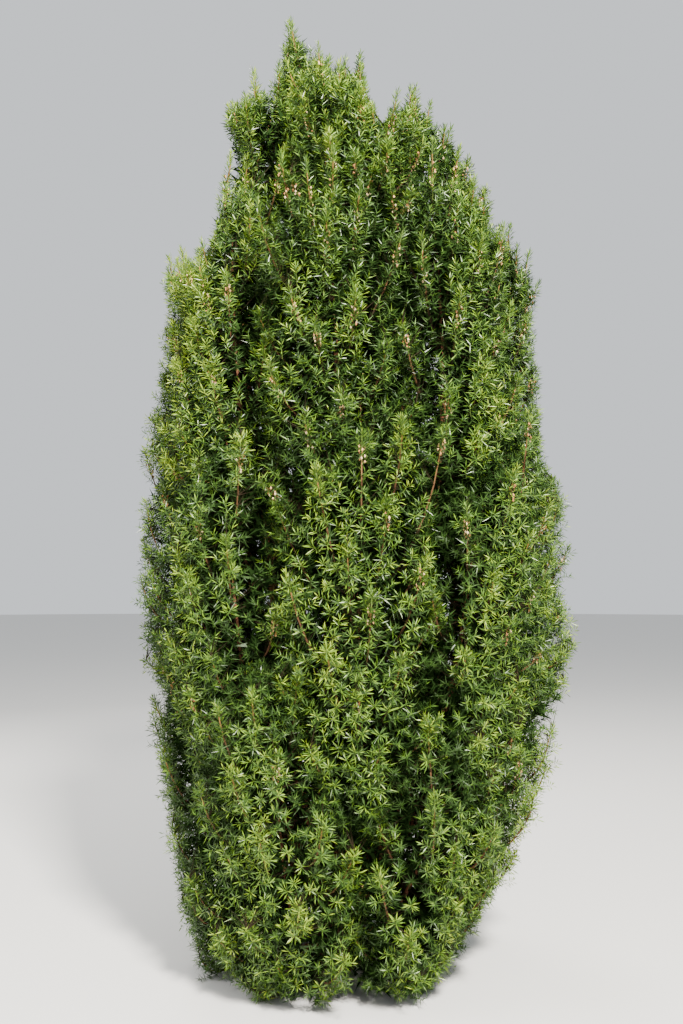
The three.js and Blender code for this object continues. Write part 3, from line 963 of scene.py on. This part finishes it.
@dataclass
class GrowthRule:
    """The seeded rule by which a mass grows leaders, and leaders bear shoots.

    outer_bias crowds bearings on the outer side. climb is how far below its end a leader leaves the stem,
    and bend how far below its tip its path bends. brush is a brush's length, and needled the share of it
    that bears the leader's own needles. Masses whose middle is above spires_from end in spires: round
    them the other shoots sink by spire_bareness, leaders end up to spire_spread under the crown's ceiling
    and shoots at least spire_clearance under it, and a shoot that would sink by more than most_sunk is
    left out. plume_core and plume_edge are distances from a leader where its plume starts to fall back
    and ends. fullness is how far past the spindle shoots may stand, and unbound the same for the layers
    that face sideways or inward. A shoot that misses its place by more than press is pressed. dome_level
    and domes_under bound the crowded domes. upward is how much more upright shoots grow at the top, stray
    how far they stray, and bearer_drop how far under a shoot's root its bearer should lie. The edge
    values say how wide the seams between masses are, how much painted shade darkens them and how deep
    they are, and the glow values how bright shoots are.
    """

    outer_bias: float = 0.55
    climb: float = 0.18
    bend: float = 0.62
    highest: float = 0.97
    unevenness: float = 0.07
    low_tilt: float = 36.0
    high_tilt: float = 6.0
    path_steps: int = 14
    brush: float = 0.150
    brush_shoots: int = 8
    brush_angles: tuple[float, float] = (26, 62)
    brush_lengths: tuple[float, float] = (0.036, 0.078)
    needled: float = 0.6
    spires_from: float = 2.3
    spire_bareness: float = 0.08
    spire_spread: float = 0.14
    spire_clearance: float = 0.13
    most_sunk: float = 0.30
    plume_core: float = 0.045
    plume_edge: float = 0.120
    fullness: float = 1.3
    unbound: float = 9.0
    press: float = 0.015
    dome_level: float = 0.8
    domes_under: float = 2.9
    upward: float = 1.2
    stray: float = 0.35
    bearer_drop: float = 0.02
    edge_width: float = 0.085
    # painted shade in the seams between masses
    edge_painted_shade: float = 0.60
    edge_groove: float = 0.030
    tip_glow: float = 1.20
    brush_glow: float = 1.30
    layer_glow: float = 1.15

    def leaders(self, mass: Mass) -> Leaders:
        """Grows a mass's leaders from its stem by the golden turn, closer together on the outer side.

        Leader k ends at the level mix(lowest, highest, k / count) of the mass's skin, or past it in the
        upper part, but under the ceiling. It leans by a tilt that falls with height, on a bent line from
        the stem.

        Args:
            mass: the mass.

        Returns:
            The leaders.
        """
        k = np.arange(mass.ring.leaders + 1)
        seed = 40 * mass.seed + k
        share = k / mass.ring.leaders
        turn = k * GOLDEN_TURN + mass.seed
        bearing = turn - self.outer_bias * np.sin(turn)
        level = mix(mass.ring.lowest, self.highest, share) + self.unevenness * wobble(seed + 0.3)
        centre, rim, facing = self._skin(mass, np.clip(level, -0.93, 0.985), bearing)
        reach = 0.97 + 0.09 * wobble(seed + 0.55)
        tips = mass.reach(centre, mix(centre, rim, reach[:, None]), -0.03, self.fullness)
        past = ramp(share, 0.45, 0.35) * mass.ring.beyond * chance(seed + 0.65)
        past = past * (1 - ramp(crown_share(tips + mass.along * past[:, None]), 1.1, 0.3))
        tips = tips + mass.along * past[:, None]
        tips[:, 2] = np.minimum(tips[:, 2], ceiling(tips) - self.spire_spread * chance(seed + 0.75))
        tilt = np.radians(mix(self.low_tilt, self.high_tilt, share**0.7) + 6 * wobble(seed + 0.9))
        rise = unit(spun(UP, facing, tilt))
        roots = even_steps(mass.stem, np.clip(share - self.climb, 0.0, 1.0))
        span = np.linalg.norm(tips - roots, axis=1)[:, None]
        control = np.stack([roots, tips - rise * span * self.bend, tips], axis=1)
        paths = bezier(control, np.linspace(0, 1, self.path_steps))
        # A seeded brightness per leader and per mass: random tone, with the mass's seed offset chosen so
        # that masses come out bright where the light falls strongly and dark where it falls weakly, so
        # partly painted light
        glow = 0.26 * wobble(7 * mass.seed + 3 * k) + 0.30 * wobble(mass.seed + 0.677)
        return Leaders(paths, glow, share)

    @staticmethod
    def _skin(mass: Mass, level: Array, bearing: Array) -> tuple[Array, Array, Array]:
        """Finds places on a mass's middle line and skin.

        At a level the spindle is (1 - |level|^B)^(1/B) of its full width, where B is its bluntness. Its
        section is an oval a little fuller at its corners than the solid's, so that the columns close up.

        Args:
            mass: the mass.
            level: shares of its half length.
            bearing: turns round its middle line, from its outer side.

        Returns:
            Places on the middle line, places on the skin, and level directions between them.
        """
        width = (1 - np.abs(level) ** BLUNTNESS) ** (1 / BLUNTNESS)
        centre = mass.middle + mass.along * (level * mass.long)[:, None]
        corner = 1 + CORNER_FULLNESS * np.sin(2 * bearing) ** 2
        offset = mass.out * (np.cos(bearing) * mass.ring.deep)[:, None]
        offset = offset + mass.round * (np.sin(bearing) * mass.ring.wide)[:, None]
        return centre, centre + offset * (width * corner)[:, None], spun(mass.out, mass.round, bearing)

    def _brush_lines(self, mass: Mass, leaders: Leaders) -> tuple[Array, Array, Array, Array]:
        """Gives the seed, tip, direction and length of each leader's brush."""
        seeds = 1000.0 * mass.seed + 37 * np.arange(len(leaders.glow)) + 0.77
        tips = leaders.paths[:, -1]
        axis = unit(tips - leaders.paths[:, -3])
        return seeds, tips, axis, self.brush * (1 + 0.25 * wobble(seeds)) * (1 + 0.4 * leaders.share**2)

    def _spires(self, mass: Mass, leaders: Leaders) -> Array:
        """Gives how much of a spire each leader's end is, from 0 for a brush to 1 for the highest."""
        return ramp(leaders.share, 0.5, 0.25) * (mass.middle[2] > self.spires_from)

    def ends(self, mass: Mass, leaders: Leaders) -> Shoots:
        """Gives each leader's own tip as a shoot."""
        seeds, tips, axis, long = self._brush_lines(mass, leaders)
        needled = self.needled + 0.35 * self._spires(mass, leaders)
        bases = tips - axis * (long * needled)[:, None]
        glow = leaders.glow + self.tip_glow + self._height_glow(tips)
        return Shoots(bases - axis * 0.01, bases, tips, glow, seeds)

    def brushes(self, mass: Mass, leaders: Leaders) -> Shoots:
        """Ends each leader in a bottle brush: its own tip, and side shoots by the golden turn below it.

        Side shoot m starts at share (m + 0.5) / count of the brush's length below the tip. The further
        down it starts, the longer it is and the more it leans out. The highest leaders of the upper
        masses end in spires: needles stand on the leader's own tip, and side shoots only below them.

        Args:
            mass: the mass.
            leaders: its leaders.

        Returns:
            The shoots.
        """
        count = self.brush_shoots
        seeds, tips, axis, long = self._brush_lines(mass, leaders)
        share = np.tile((np.arange(count) + 0.5) / count, len(tips))
        owner = np.repeat(np.arange(len(tips)), count)
        seed = seeds[owner] + 1.7 * share
        spire = self._spires(mass, leaders)[owner]
        below = mix(0.12, 1.0, share) + spire * mix(0.55, 0.75, share)
        starts = tips[owner] - axis[owner] * (long[owner] * below)[:, None]
        radial = radials(axis, owner, share * count * GOLDEN_TURN + 6.3 * chance(seeds)[owner])
        slant = mix(*self.brush_angles, share) * (1 - 0.5 * self._high(starts)) + 9 * wobble(seed)
        direction = spun(axis[owner], radial, np.radians(slant))
        reach = mix(*self.brush_lengths, share) * (1 + 0.2 * wobble(seed + 0.4)) * (1 + 0.20 * spire)
        glow = leaders.glow[owner] + self.brush_glow - 0.35 * share + 0.2 * wobble(seed + 0.6)
        # Painted shade: brush shoots in the seams between masses, and high up and at the foot, are made
        # less bright
        glow = glow + self._height_glow(starts) - 0.5 * self.edge_painted_shade * self._edge(mass, starts)
        bearers = starts - axis[owner] * 0.004
        sides = Shoots(bearers, starts, starts + direction * reach[:, None], glow, seed + 0.2)
        shoots = Shoots.joined([self.ends(mass, leaders), sides])
        return shoots.kept(chance(shoots.seeds + 0.3) < self._seen(shoots.tips, OUTER.hidden))

    def layer(self, mass: Mass, leaders: Leaders, layer: Layer) -> Shoots:
        """Spreads one layer of shoots evenly under the mass's skin, and joins each to the nearest leader.

        Shoot j stands at the level mix(-1, 1, j / count) and the bearing of j golden turns. Near the top
        it sinks a little, so that leaders stand out as spires, and what would pass the ceiling sinks
        under it. Round each leader the layer swells into a plume, and between leaders it falls back into
        a groove where fewer shoots grow and painted shade makes them darker, as in the seams between masses
        and deeper in the crown. Shoots point out and up. Few are kept on sides that face other masses or
        the bare middle, and where domes under 2.9 m crowd near their tops.

        Args:
            mass: the mass.
            leaders: its leaders.
            layer: which layer.

        Returns:
            The shoots.
        """
        count = int(mass.ring.shoots * layer.density)
        j = np.arange(count)
        seed = 3000.0 * mass.seed + 700 * layer.near + 1.37 * j
        turn = j * GOLDEN_TURN + 2.1 * mass.seed
        bearing = {
            Facing.ROUND: turn - self.outer_bias * np.sin(turn),
            Facing.SIDEWAYS: np.where(j % 2 == 0, 0.5, -0.5) * math.pi + 0.7 * wobble(seed + 0.9),
            Facing.INWARD: turn + self.outer_bias * np.sin(turn),
        }[layer.facing]
        level = np.clip(mix(-0.985, layer.top, (j + 0.5) / count) + 0.02 * wobble(seed), -0.985, 0.985)
        centre, rim, _ = self._skin(mass, level, bearing)
        depth = mix(layer.near, layer.far, chance(seed + 0.1) ** 1.6)
        aimed = mix(centre, rim, depth[:, None])
        loose = self.fullness if layer.facing is Facing.ROUND else self.unbound
        tips = mass.reach(centre, aimed, -layer.overlap, loose)
        pressed = np.linalg.norm(tips - aimed, axis=1) > self.press
        sunk = self.spire_bareness * ramp(level, 0.5, 0.4) * (mass.middle[2] > self.spires_from)
        tips = tips - mass.along * sunk[:, None]
        clearance = self.spire_clearance * (1 + 0.5 * layer.painted_shade) + 0.08 * chance(seed + 0.75)
        over = tips[:, 2] - ceiling(tips) + clearance
        tips[:, 2] -= np.clip(over, 0, None)
        first_step = self.path_steps // 3
        plumes = leaders.paths[:, first_step:].reshape(-1, 3)
        spread = np.linalg.norm((tips[:, None] - plumes[None]) * np.array([1.0, 1.0, 0.35]), axis=-1)
        hollow = eased(ramp(spread.min(axis=1), self.plume_core, self.plume_edge - self.plume_core))
        nearest = spread.argmin(axis=1)
        outward = unit(tips - centre)
        away = unit((tips - plumes[nearest]) * LEVEL)
        edge = self._edge(mass, tips)
        tips = tips - outward * (hollow * layer.groove + edge * self.edge_groove)[:, None]
        rise = mix(0.45, 0.95, chance(seed + 0.2)) + self.upward * self._high(tips)
        stray = np.stack([wobble(seed + part) for part in (0.3, 0.4, 0.5)], -1) * self.stray
        direction = unit(outward + away * 0.6 + UP * rise[:, None] + stray)
        roots = tips - direction * mix(*layer.length, chance(seed + 0.6))[:, None]
        points = leaders.paths.reshape(-1, 3)
        ways = roots[:, None] - points[None]
        cost = np.linalg.norm(ways, axis=-1) + 2.0 * np.clip(self.bearer_drop - ways[..., 2], 0, None)
        bearers = points[cost.argmin(axis=1)]
        rim = np.maximum(ramp(crown_share(tips), *RIM_SHARES), ramp(tips[:, 2], *RIM_HEIGHTS))
        seen = np.where(pressed, mix(layer.hidden, 1.0, rim), 1.0) * self._seen(tips, layer.hidden)
        dome = (level > self.dome_level) & (tips[:, 2] < self.domes_under)
        crowded = np.where(dome, 1 - layer.thinned, 1.0)
        keep = chance(seed + 0.7) < (1 - layer.thinned * np.maximum(hollow, edge)) * seen * crowded
        keep &= (np.minimum(roots, tips)[:, 2] > LOWEST_TIP) & (crown_share(tips) < layer.limit)
        keep &= over < self.most_sunk * chance(seed + 0.85)
        plume_glow = leaders.glow[nearest // (self.path_steps - first_step)]
        # Painted shade: shoots in the grooves between plumes, in the seams between masses, in deeper layers
        # and deeper within their layer, and high up and at the foot, are made less bright and dealt darker
        # greens
        glow = self.layer_glow + plume_glow - 0.60 * hollow - self.edge_painted_shade * edge - layer.painted_shade
        glow = glow + np.maximum(depth - layer.near, -0.3)
        glow = glow + 0.16 * wobble(seed + 0.8) + self._height_glow(tips)
        return Shoots(bearers, roots, tips, glow, seed).kept(keep)

    def _edge(self, mass: Mass, points: Array) -> Array:
        """Gives how near points stand to the seams between masses, from 0 inside to 1 in a seam."""
        return (1 - ramp(mass.room(points), 0, self.edge_width)) * (1 - ramp(points[:, 2], *SEAM_HEIGHTS))

    @staticmethod
    def _high(points: Array) -> Array:
        """Gives how high points stand, from 0 below 1.8 m to 1 above 3.2 m."""
        return ramp(points[:, 2], *UPRIGHT_HEIGHTS)

    @staticmethod
    def _height_glow(points: Array) -> Array:
        """Gives painted shade by height: how much less bright shoots are high up and at the foot, down to
        -0.2.
        """
        return -0.2 * np.interp(points[:, 2], [0.15, 0.5, 1.9, 3.2], [1.0, 0.0, 0.0, 1.0])

    @staticmethod
    def _seen(points: Array, hidden: float) -> Array:
        """Gives the share of shoots to keep: all near the crown's outline and top, hidden in its middle."""
        near = np.maximum(ramp(crown_share(points), *TOP_SHARES), ramp(points[:, 2], *TOP_HEIGHTS))
        return mix(hidden, 1.0, near)


@dataclass(frozen=True)
class NeedleRule:
    """How needles stand on a shoot: a golden spiral, swept forward towards the shoot's tip."""

    length: float
    half_width: float
    spacing: float
    fewest: int
    folded: bool
    low_angle: float = 84.0
    high_angle: float = 42.0
    widest: float = 0.6
    fold: float = 0.0006

    def grow(self, shoots: Shoots) -> Surface:
        """Grows the needles of all shoots, as folded lances of two triangles or plain blades of one.

        Needle j of a shoot stands at share (j + 0.5) / count of its length, turned by j golden turns. It
        leans from the shoot's line by an angle that falls towards the tip, and a little up to the light.
        A lance's halves meet in a fold, and it is widest at share widest of its length.

        Args:
            shoots: the shoots.

        Returns:
            Vertices, triangles, and each triangle's brightness, highest at the shoot's tip.
        """
        line = shoots.tips - shoots.roots
        long = np.linalg.norm(line, axis=1)
        axes = line / long[:, None]
        counts = np.maximum(self.fewest, np.round(long / self.spacing)).astype(int)
        owner = np.repeat(np.arange(len(counts)), counts)
        order = np.arange(len(owner)) - np.repeat(np.cumsum(counts) - counts, counts)
        seed = shoots.seeds[owner] + 0.031 * order
        share = (order + 0.5) / counts[owner]
        axis = axes[owner]
        turn = order * GOLDEN_TURN + 6.3 * chance(shoots.seeds)[owner] + 0.5 * wobble(seed)
        angle = np.radians(mix(self.low_angle, self.high_angle, share**3) + 14 * wobble(seed + 0.2))
        direction = unit(spun(axis, radials(axes, owner, turn), angle) + UP * 0.12)
        size = self.length * (1 - 0.25 * share**3) * (1 + 0.18 * wobble(seed + 0.4))
        size = size * (1 + 0.14 * wobble(shoots.seeds + 0.7))[owner]
        base = shoots.roots[owner] + line[owner] * mix(0.12, 1.0, share)[:, None]
        width = unit(np.cross(direction, axis))
        side = spun(width, np.cross(direction, width), wobble(seed + 0.6))
        end = base + direction * size[:, None]
        edge = side * self.half_width
        glow = shoots.glow[owner] + 0.10 + 0.4 * (share - 0.6) + 0.62 * wobble(seed + 0.8)
        if self.folded:
            belly = base + direction * (size * self.widest)[:, None]
            belly = belly - np.cross(direction, side) * self.fold
            outline = [base, belly + edge, end, belly - edge]
            one = np.array([[0, 1, 2], [0, 2, 3]])
        else:
            outline = [base + edge, base - edge, end]
            one = np.array([[0, 1, 2]])
        faces = repeated(one, len(owner), len(outline))
        return np.stack(outline, axis=1).reshape(-1, 3), faces, np.repeat(glow, len(one))


# Length, half width, spacing along the shoot, and the fewest on it
FINE_NEEDLES = NeedleRule(0.035, 0.0021, 0.0031, 16, True)
UPRIGHT_NEEDLES = NeedleRule(0.036, 0.0021, 0.0028, 18, True, low_angle=68.0, high_angle=30.0)
SPIRE_NEEDLES = NeedleRule(0.037, 0.0021, 0.0019, 26, True, low_angle=66.0, high_angle=26.0)
DIM_NEEDLES = NeedleRule(0.035, 0.0020, 0.0030, 16, False)
SHADED_NEEDLES = NeedleRule(0.038, 0.0031, 0.0045, 12, False)
DEEP_NEEDLES = NeedleRule(0.060, 0.0090, 0.0125, 10, False)
TONE_LIMITS = (1.72, 1.32, 0.92, 0.52)
SHADED_TONE_LIMIT = 0.35


def toned(glow: Array) -> Array:
    """Deals each triangle the green whose limits its brightness falls between, from GOLD to SHADE."""
    return sum((glow < limit).astype(int) for limit in TONE_LIMITS)


@dataclass
class BudRule:
    """Chains of small pale buds along the leaders' tips, thickest in the upper half of the crown.

    radius is a bud's, and away how far it stands from the tip's own line. The chain runs over the shares
    start to stop of the tip.
    """

    radius: float = 0.0047
    away: float = 0.0110
    start: float = -0.12
    stop: float = 0.55
    share: float = 0.75
    chain: int = 12
    low: float = 0.6
    rise: float = 2.2

    def grow(self, tips: Shoots) -> Surface:
        """Grows a chain of six-sided buds along the lower part of chosen tips.

        A tip is chosen with a chance that climbs with its height from low over rise.

        Args:
            tips: the leaders' own tips.

        Returns:
            Vertices, triangles, and each triangle's finish number.
        """
        height = np.clip((tips.tips[:, 2] - self.low) / self.rise, 0.10, 1.0)
        chosen = tips.kept(chance(tips.seeds + 0.91) < self.share * height)
        owner = np.repeat(np.arange(len(chosen.seeds)), self.chain)
        order = np.tile(np.arange(self.chain), len(chosen.seeds))
        seed = chosen.seeds[owner] + 0.07 * order
        line = chosen.tips - chosen.roots
        radial = radials(unit(line), owner, order * GOLDEN_TURN + 6.3 * chance(seed))
        along = mix(self.start, self.stop, (order + chance(seed + 0.3)) / self.chain)
        middle = chosen.roots[owner] + line[owner] * along[:, None] + radial * self.away
        middle[:, 2] = np.maximum(middle[:, 2], LOWEST_TIP)
        size = self.radius * (1 + 0.3 * wobble(seed + 0.5))
        rim = [[math.cos(turn), math.sin(turn), 0.0] for turn in circle(3)]
        shape = np.array(rim + [[0, 0, 1.4], [0, 0, -1.1]])
        one = np.array([[0, 1, 3], [1, 2, 3], [2, 0, 3], [1, 0, 4], [2, 1, 4], [0, 2, 4]])
        points = middle[:, None] + shape[None] * size[:, None, None]
        finish = np.floor(chance(seed + 0.8) * len(BUD_FINISHES)).astype(int)
        return points.reshape(-1, 3), repeated(one, len(owner), len(shape)), np.repeat(finish, len(one))


@dataclass
class Foliage:
    """All foliage: leaders, shoots, needles and buds, joined by kind and by ring.

    Outer shoots less bright than dim bear plain blades, those longer than spire bear a spire's needles,
    and those whose direction rises by more than upright bear steep ones. Masses whose middle lies before
    front are their ring's front. Leaders are brown and dark below the shares brown_limits and green past
    green_from.
    """

    layout: Layout
    growth: GrowthRule = field(default_factory=GrowthRule)
    buds: BudRule = field(default_factory=BudRule)
    dim: float = 0.85
    upright: float = 0.84
    spire: float = 0.11
    front: float = 0.02
    leader_radii: tuple[float, float] = (0.0065, 0.0019)
    brown_limits: tuple[float, float] = (0.80, 0.50)
    green_from: float = 0.90
    shoot_radius: float = 0.0014
    deep_radius: float = 0.0022

    def groups(self) -> dict[str, list[Mass]]:
        """Sorts the masses into groups whose needles stay under 200,000 triangles.

        Returns:
            The masses of each group by the group's name.
        """
        groups = {"skirt": self.layout.of_ring("skirt")}
        for name in ("waist", "shoulder"):
            masses = self.layout.of_ring(name)
            groups[f"{name}_front"] = [mass for mass in masses if mass.middle[1] < self.front]
            groups[f"{name}_back"] = [mass for mass in masses if mass.middle[1] >= self.front]
        groups["crest"] = self.layout.of_ring("crest", "peak")
        return groups

    def build(self) -> None:
        """Grows every group and makes its pieces."""
        greens = [finish.material() for finish in NEEDLE_FINISHES]
        twigs = [finish.material() for finish in TWIG_FINISHES]
        buds = [finish.material() for finish in BUD_FINISHES]
        grow = self.growth
        for name, masses in self.groups().items():
            nodes = [f"foliage_{mass.label}" for mass in masses]
            pairs = [(mass, grow.leaders(mass)) for mass in masses]
            outer, middle, inner, ends = (
                Shoots.joined(shoots).fitted()
                for shoots in (
                    [grow.layer(*pair, OUTER) for pair in pairs] + [grow.brushes(*pair) for pair in pairs],
                    [grow.layer(*pair, MIDDLE) for pair in pairs],
                    [grow.layer(*pair, deep) for pair in pairs for deep in (INNER, CORE, VEIL)],
                    [grow.ends(*pair) for pair in pairs],
                )
            )
            points, faces, glow = self._lit_needles(outer)
            lit = (points, faces, toned(glow))
            # The middle and deep layers take only the shade and dusk greens: painted shade
            points, faces, glow = stacked([SHADED_NEEDLES.grow(middle), DEEP_NEEDLES.grow(inner)])
            shaded = (points, faces, 1 + (glow < SHADED_TONE_LIMIT).astype(int))
            wood = [self._leader_surfaces(leaders) for _, leaders in pairs]
            wood += [self._shoot_stems(outer), self._deep_stems(middle), self._deep_stems(inner)]
            add_piece(f"needles_{name}", lit, greens[:5], nodes)
            add_piece(f"shaded_needles_{name}", shaded, greens[3:], nodes)
            add_piece(f"twigs_{name}", stacked(wood), twigs, nodes)
            add_piece(f"buds_{name}", self.buds.grow(ends), buds, nodes)
            counts = [len(shoots.seeds) for shoots in (outer, middle, inner)]
            log.info("%s: %d, %d and %d shoots", name, *counts)

    def _lit_needles(self, shoots: Shoots) -> Surface:
        """Grows the outer shoots' needles, each kind of shoot by its own rule.

        Args:
            shoots: the outer shoots.

        Returns:
            Vertices, triangles and each triangle's brightness.
        """
        line = shoots.tips - shoots.roots
        spire = np.linalg.norm(line, axis=1) > self.spire
        dim = ~spire & (shoots.glow < self.dim)
        upright = ~dim & ~spire & (unit(line)[:, 2] > self.upright)
        rules = (
            (FINE_NEEDLES, ~dim & ~upright & ~spire),
            (UPRIGHT_NEEDLES, upright),
            (SPIRE_NEEDLES, spire),
            (DIM_NEEDLES, dim),
        )
        return stacked([rule.grow(shoots.kept(which)) for rule, which in rules])

    def _leader_surfaces(self, leaders: Leaders) -> Surface:
        """Makes the leaders' wood: tapering tubes, dark low down, orange and then green at the tip.

        Args:
            leaders: the leaders of one mass.

        Returns:
            Vertices, triangles and each triangle's finish number.
        """
        paths = fitted(np.concatenate([leaders.paths[:, :-1:2], leaders.paths[:, -1:]], axis=1))
        share = np.linspace(0, 1, paths.shape[1])
        radii = np.broadcast_to(mix(*self.leader_radii, share), paths.shape[:2])
        vertices, faces = tube_surfaces(paths, radii, 3)
        level = np.tile(np.concatenate([np.repeat(share, 3), [0.0, 1.0]]), len(paths))
        middle = level[faces].mean(axis=1)
        finish = sum((middle < limit).astype(int) for limit in self.brown_limits)
        return vertices, faces, np.where(middle > self.green_from, TWIG_GREEN, finish)

    def _shoot_stems(self, shoots: Shoots) -> Surface:
        """Makes each shoot's own green stem, and the dark twig that bears it, as thin spikes.

        Args:
            shoots: the shoots.

        Returns:
            Vertices, triangles and each triangle's finish number.
        """
        starts = np.concatenate([shoots.roots, shoots.bearers])
        ends = np.concatenate([shoots.tips, shoots.roots + (shoots.tips - shoots.roots) * 0.15])
        radii = np.repeat([self.shoot_radius, self.shoot_radius * 1.3], len(shoots.roots))
        tones = np.repeat([TWIG_GREEN, TWIG_DARK], 3 * len(shoots.roots))
        return *spike_surfaces(starts, ends, radii), tones

    def _deep_stems(self, shoots: Shoots) -> Surface:
        """Makes one dark spike from each deep shoot's bearer to its tip."""
        radii = np.full(len(shoots.tips), self.deep_radius)
        spikes = spike_surfaces(shoots.bearers, shoots.tips, radii)
        return *spikes, np.full(3 * len(radii), TWIG_DARK)


# The studio


@dataclass
class Studio:
    """A plain pale floor, soft light and the camera of the photograph's view."""

    eye: Triple = (0.0285, -EYE_AWAY, EYE_HEIGHT)
    aim: Triple = (0.0, 0.0, 2.6)
    pitch: float = 4.694
    lens: float = 950 / 1024 * 36
    floor_radius: float = 60.0
    floor_sides: int = 96

    def build(self) -> None:
        """Makes the floor, the lights, the sky colour and the camera."""
        self._floor()
        self._light("key", (2.0, -5.9, 7.4), 1.1, 3850.0, (1.0, 0.96, 0.88))
        self._light("fill", (-5.4, -3.0, 6.0), 2.4, 350.0, (1.0, 0.98, 0.94))
        self._light("rim", (-2.5, 5.5, 6.0), 3.0, 500.0, (1.0, 0.97, 0.92))
        self._sky()
        self._camera()

    def _floor(self) -> None:
        """Makes a wide round floor, pale and matt with a faint mottle."""
        sides = self.floor_sides
        turn = circle(sides)
        rim = np.stack([np.cos(turn), np.sin(turn), np.zeros(sides)], -1) * self.floor_radius
        corner = np.arange(sides)
        faces = np.stack([corner, np.roll(corner, -1), np.full(sides, sides)], -1)
        mesh = bpy.data.meshes.new("floor")
        mesh.from_pydata([*rim.tolist(), ORIGIN], [], faces.tolist())
        finish = principled("floor_pale", (0.63, 0.62, 0.60), {"Roughness": 0.9})
        tree = finish.node_tree
        mottle = add_node(tree, "ShaderNodeTexNoise", {"Scale": 1.4})
        tones = add_node(tree, "ShaderNodeValToRGB")
        tones.color_ramp.elements[0].color = (0.60, 0.59, 0.57, 1)
        tones.color_ramp.elements[1].color = (0.66, 0.65, 0.63, 1)
        shader = tree.nodes["Principled BSDF"]
        add_links(tree, (mottle, "Fac", tones, "Fac"), (tones, "Color", shader, "Base Color"))
        mesh.materials.append(finish)
        floor = placed("floor", mesh, (0, 0, -0.001))
        floor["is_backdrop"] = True

    def _light(self, name: str, place: Triple, size: float, power: float, color: Triple) -> None:
        """Hangs a square area light that looks at the shrub.

        Args:
            name: the light's name.
            place: where it hangs.
            size: its side.
            power: in watts.
            color: its colour.
        """
        data = bpy.data.lights.new(name, "AREA")
        data.size = size
        data.energy = power
        data.color = color
        x, y, z = np.array(self.aim) - np.array(place)
        placed(name, data, place, (math.atan2(math.hypot(x, y), -z), 0.0, math.atan2(-x, y)))

    @staticmethod
    def _sky() -> None:
        """Gives the studio's air a pale even colour."""
        world = bpy.data.worlds.new("studio_air")
        world.use_nodes = True
        shader = world.node_tree.nodes["Background"]
        shader.inputs["Color"].default_value = (0.90, 0.94, 0.98, 1.0)
        shader.inputs["Strength"].default_value = 0.95
        bpy.context.scene.world = world

    def _camera(self) -> None:
        """Sets the camera at a standing photographer's eye, tipped up a little."""
        data = bpy.data.cameras.new("camera")
        data.lens = self.lens
        data.clip_end = 500.0
        turn = (math.radians(90 + self.pitch), 0.0, 0.0)
        bpy.context.scene.camera = placed("camera", data, self.eye, turn)


def corners() -> list[list[float]]:
    """Gives the shown object's lowest and highest corner as plain lists."""
    return [[float(value) for value in corner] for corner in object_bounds()]


def main() -> None:
    logging.basicConfig(level=logging.INFO, format="%(message)s")
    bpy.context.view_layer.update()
    layout = Layout()
    group = bark_group()
    Trunk().build(group)
    Boughs(layout).build(group)
    Foliage(layout).build()
    Studio().build()


if __name__ == "__main__":
    main()
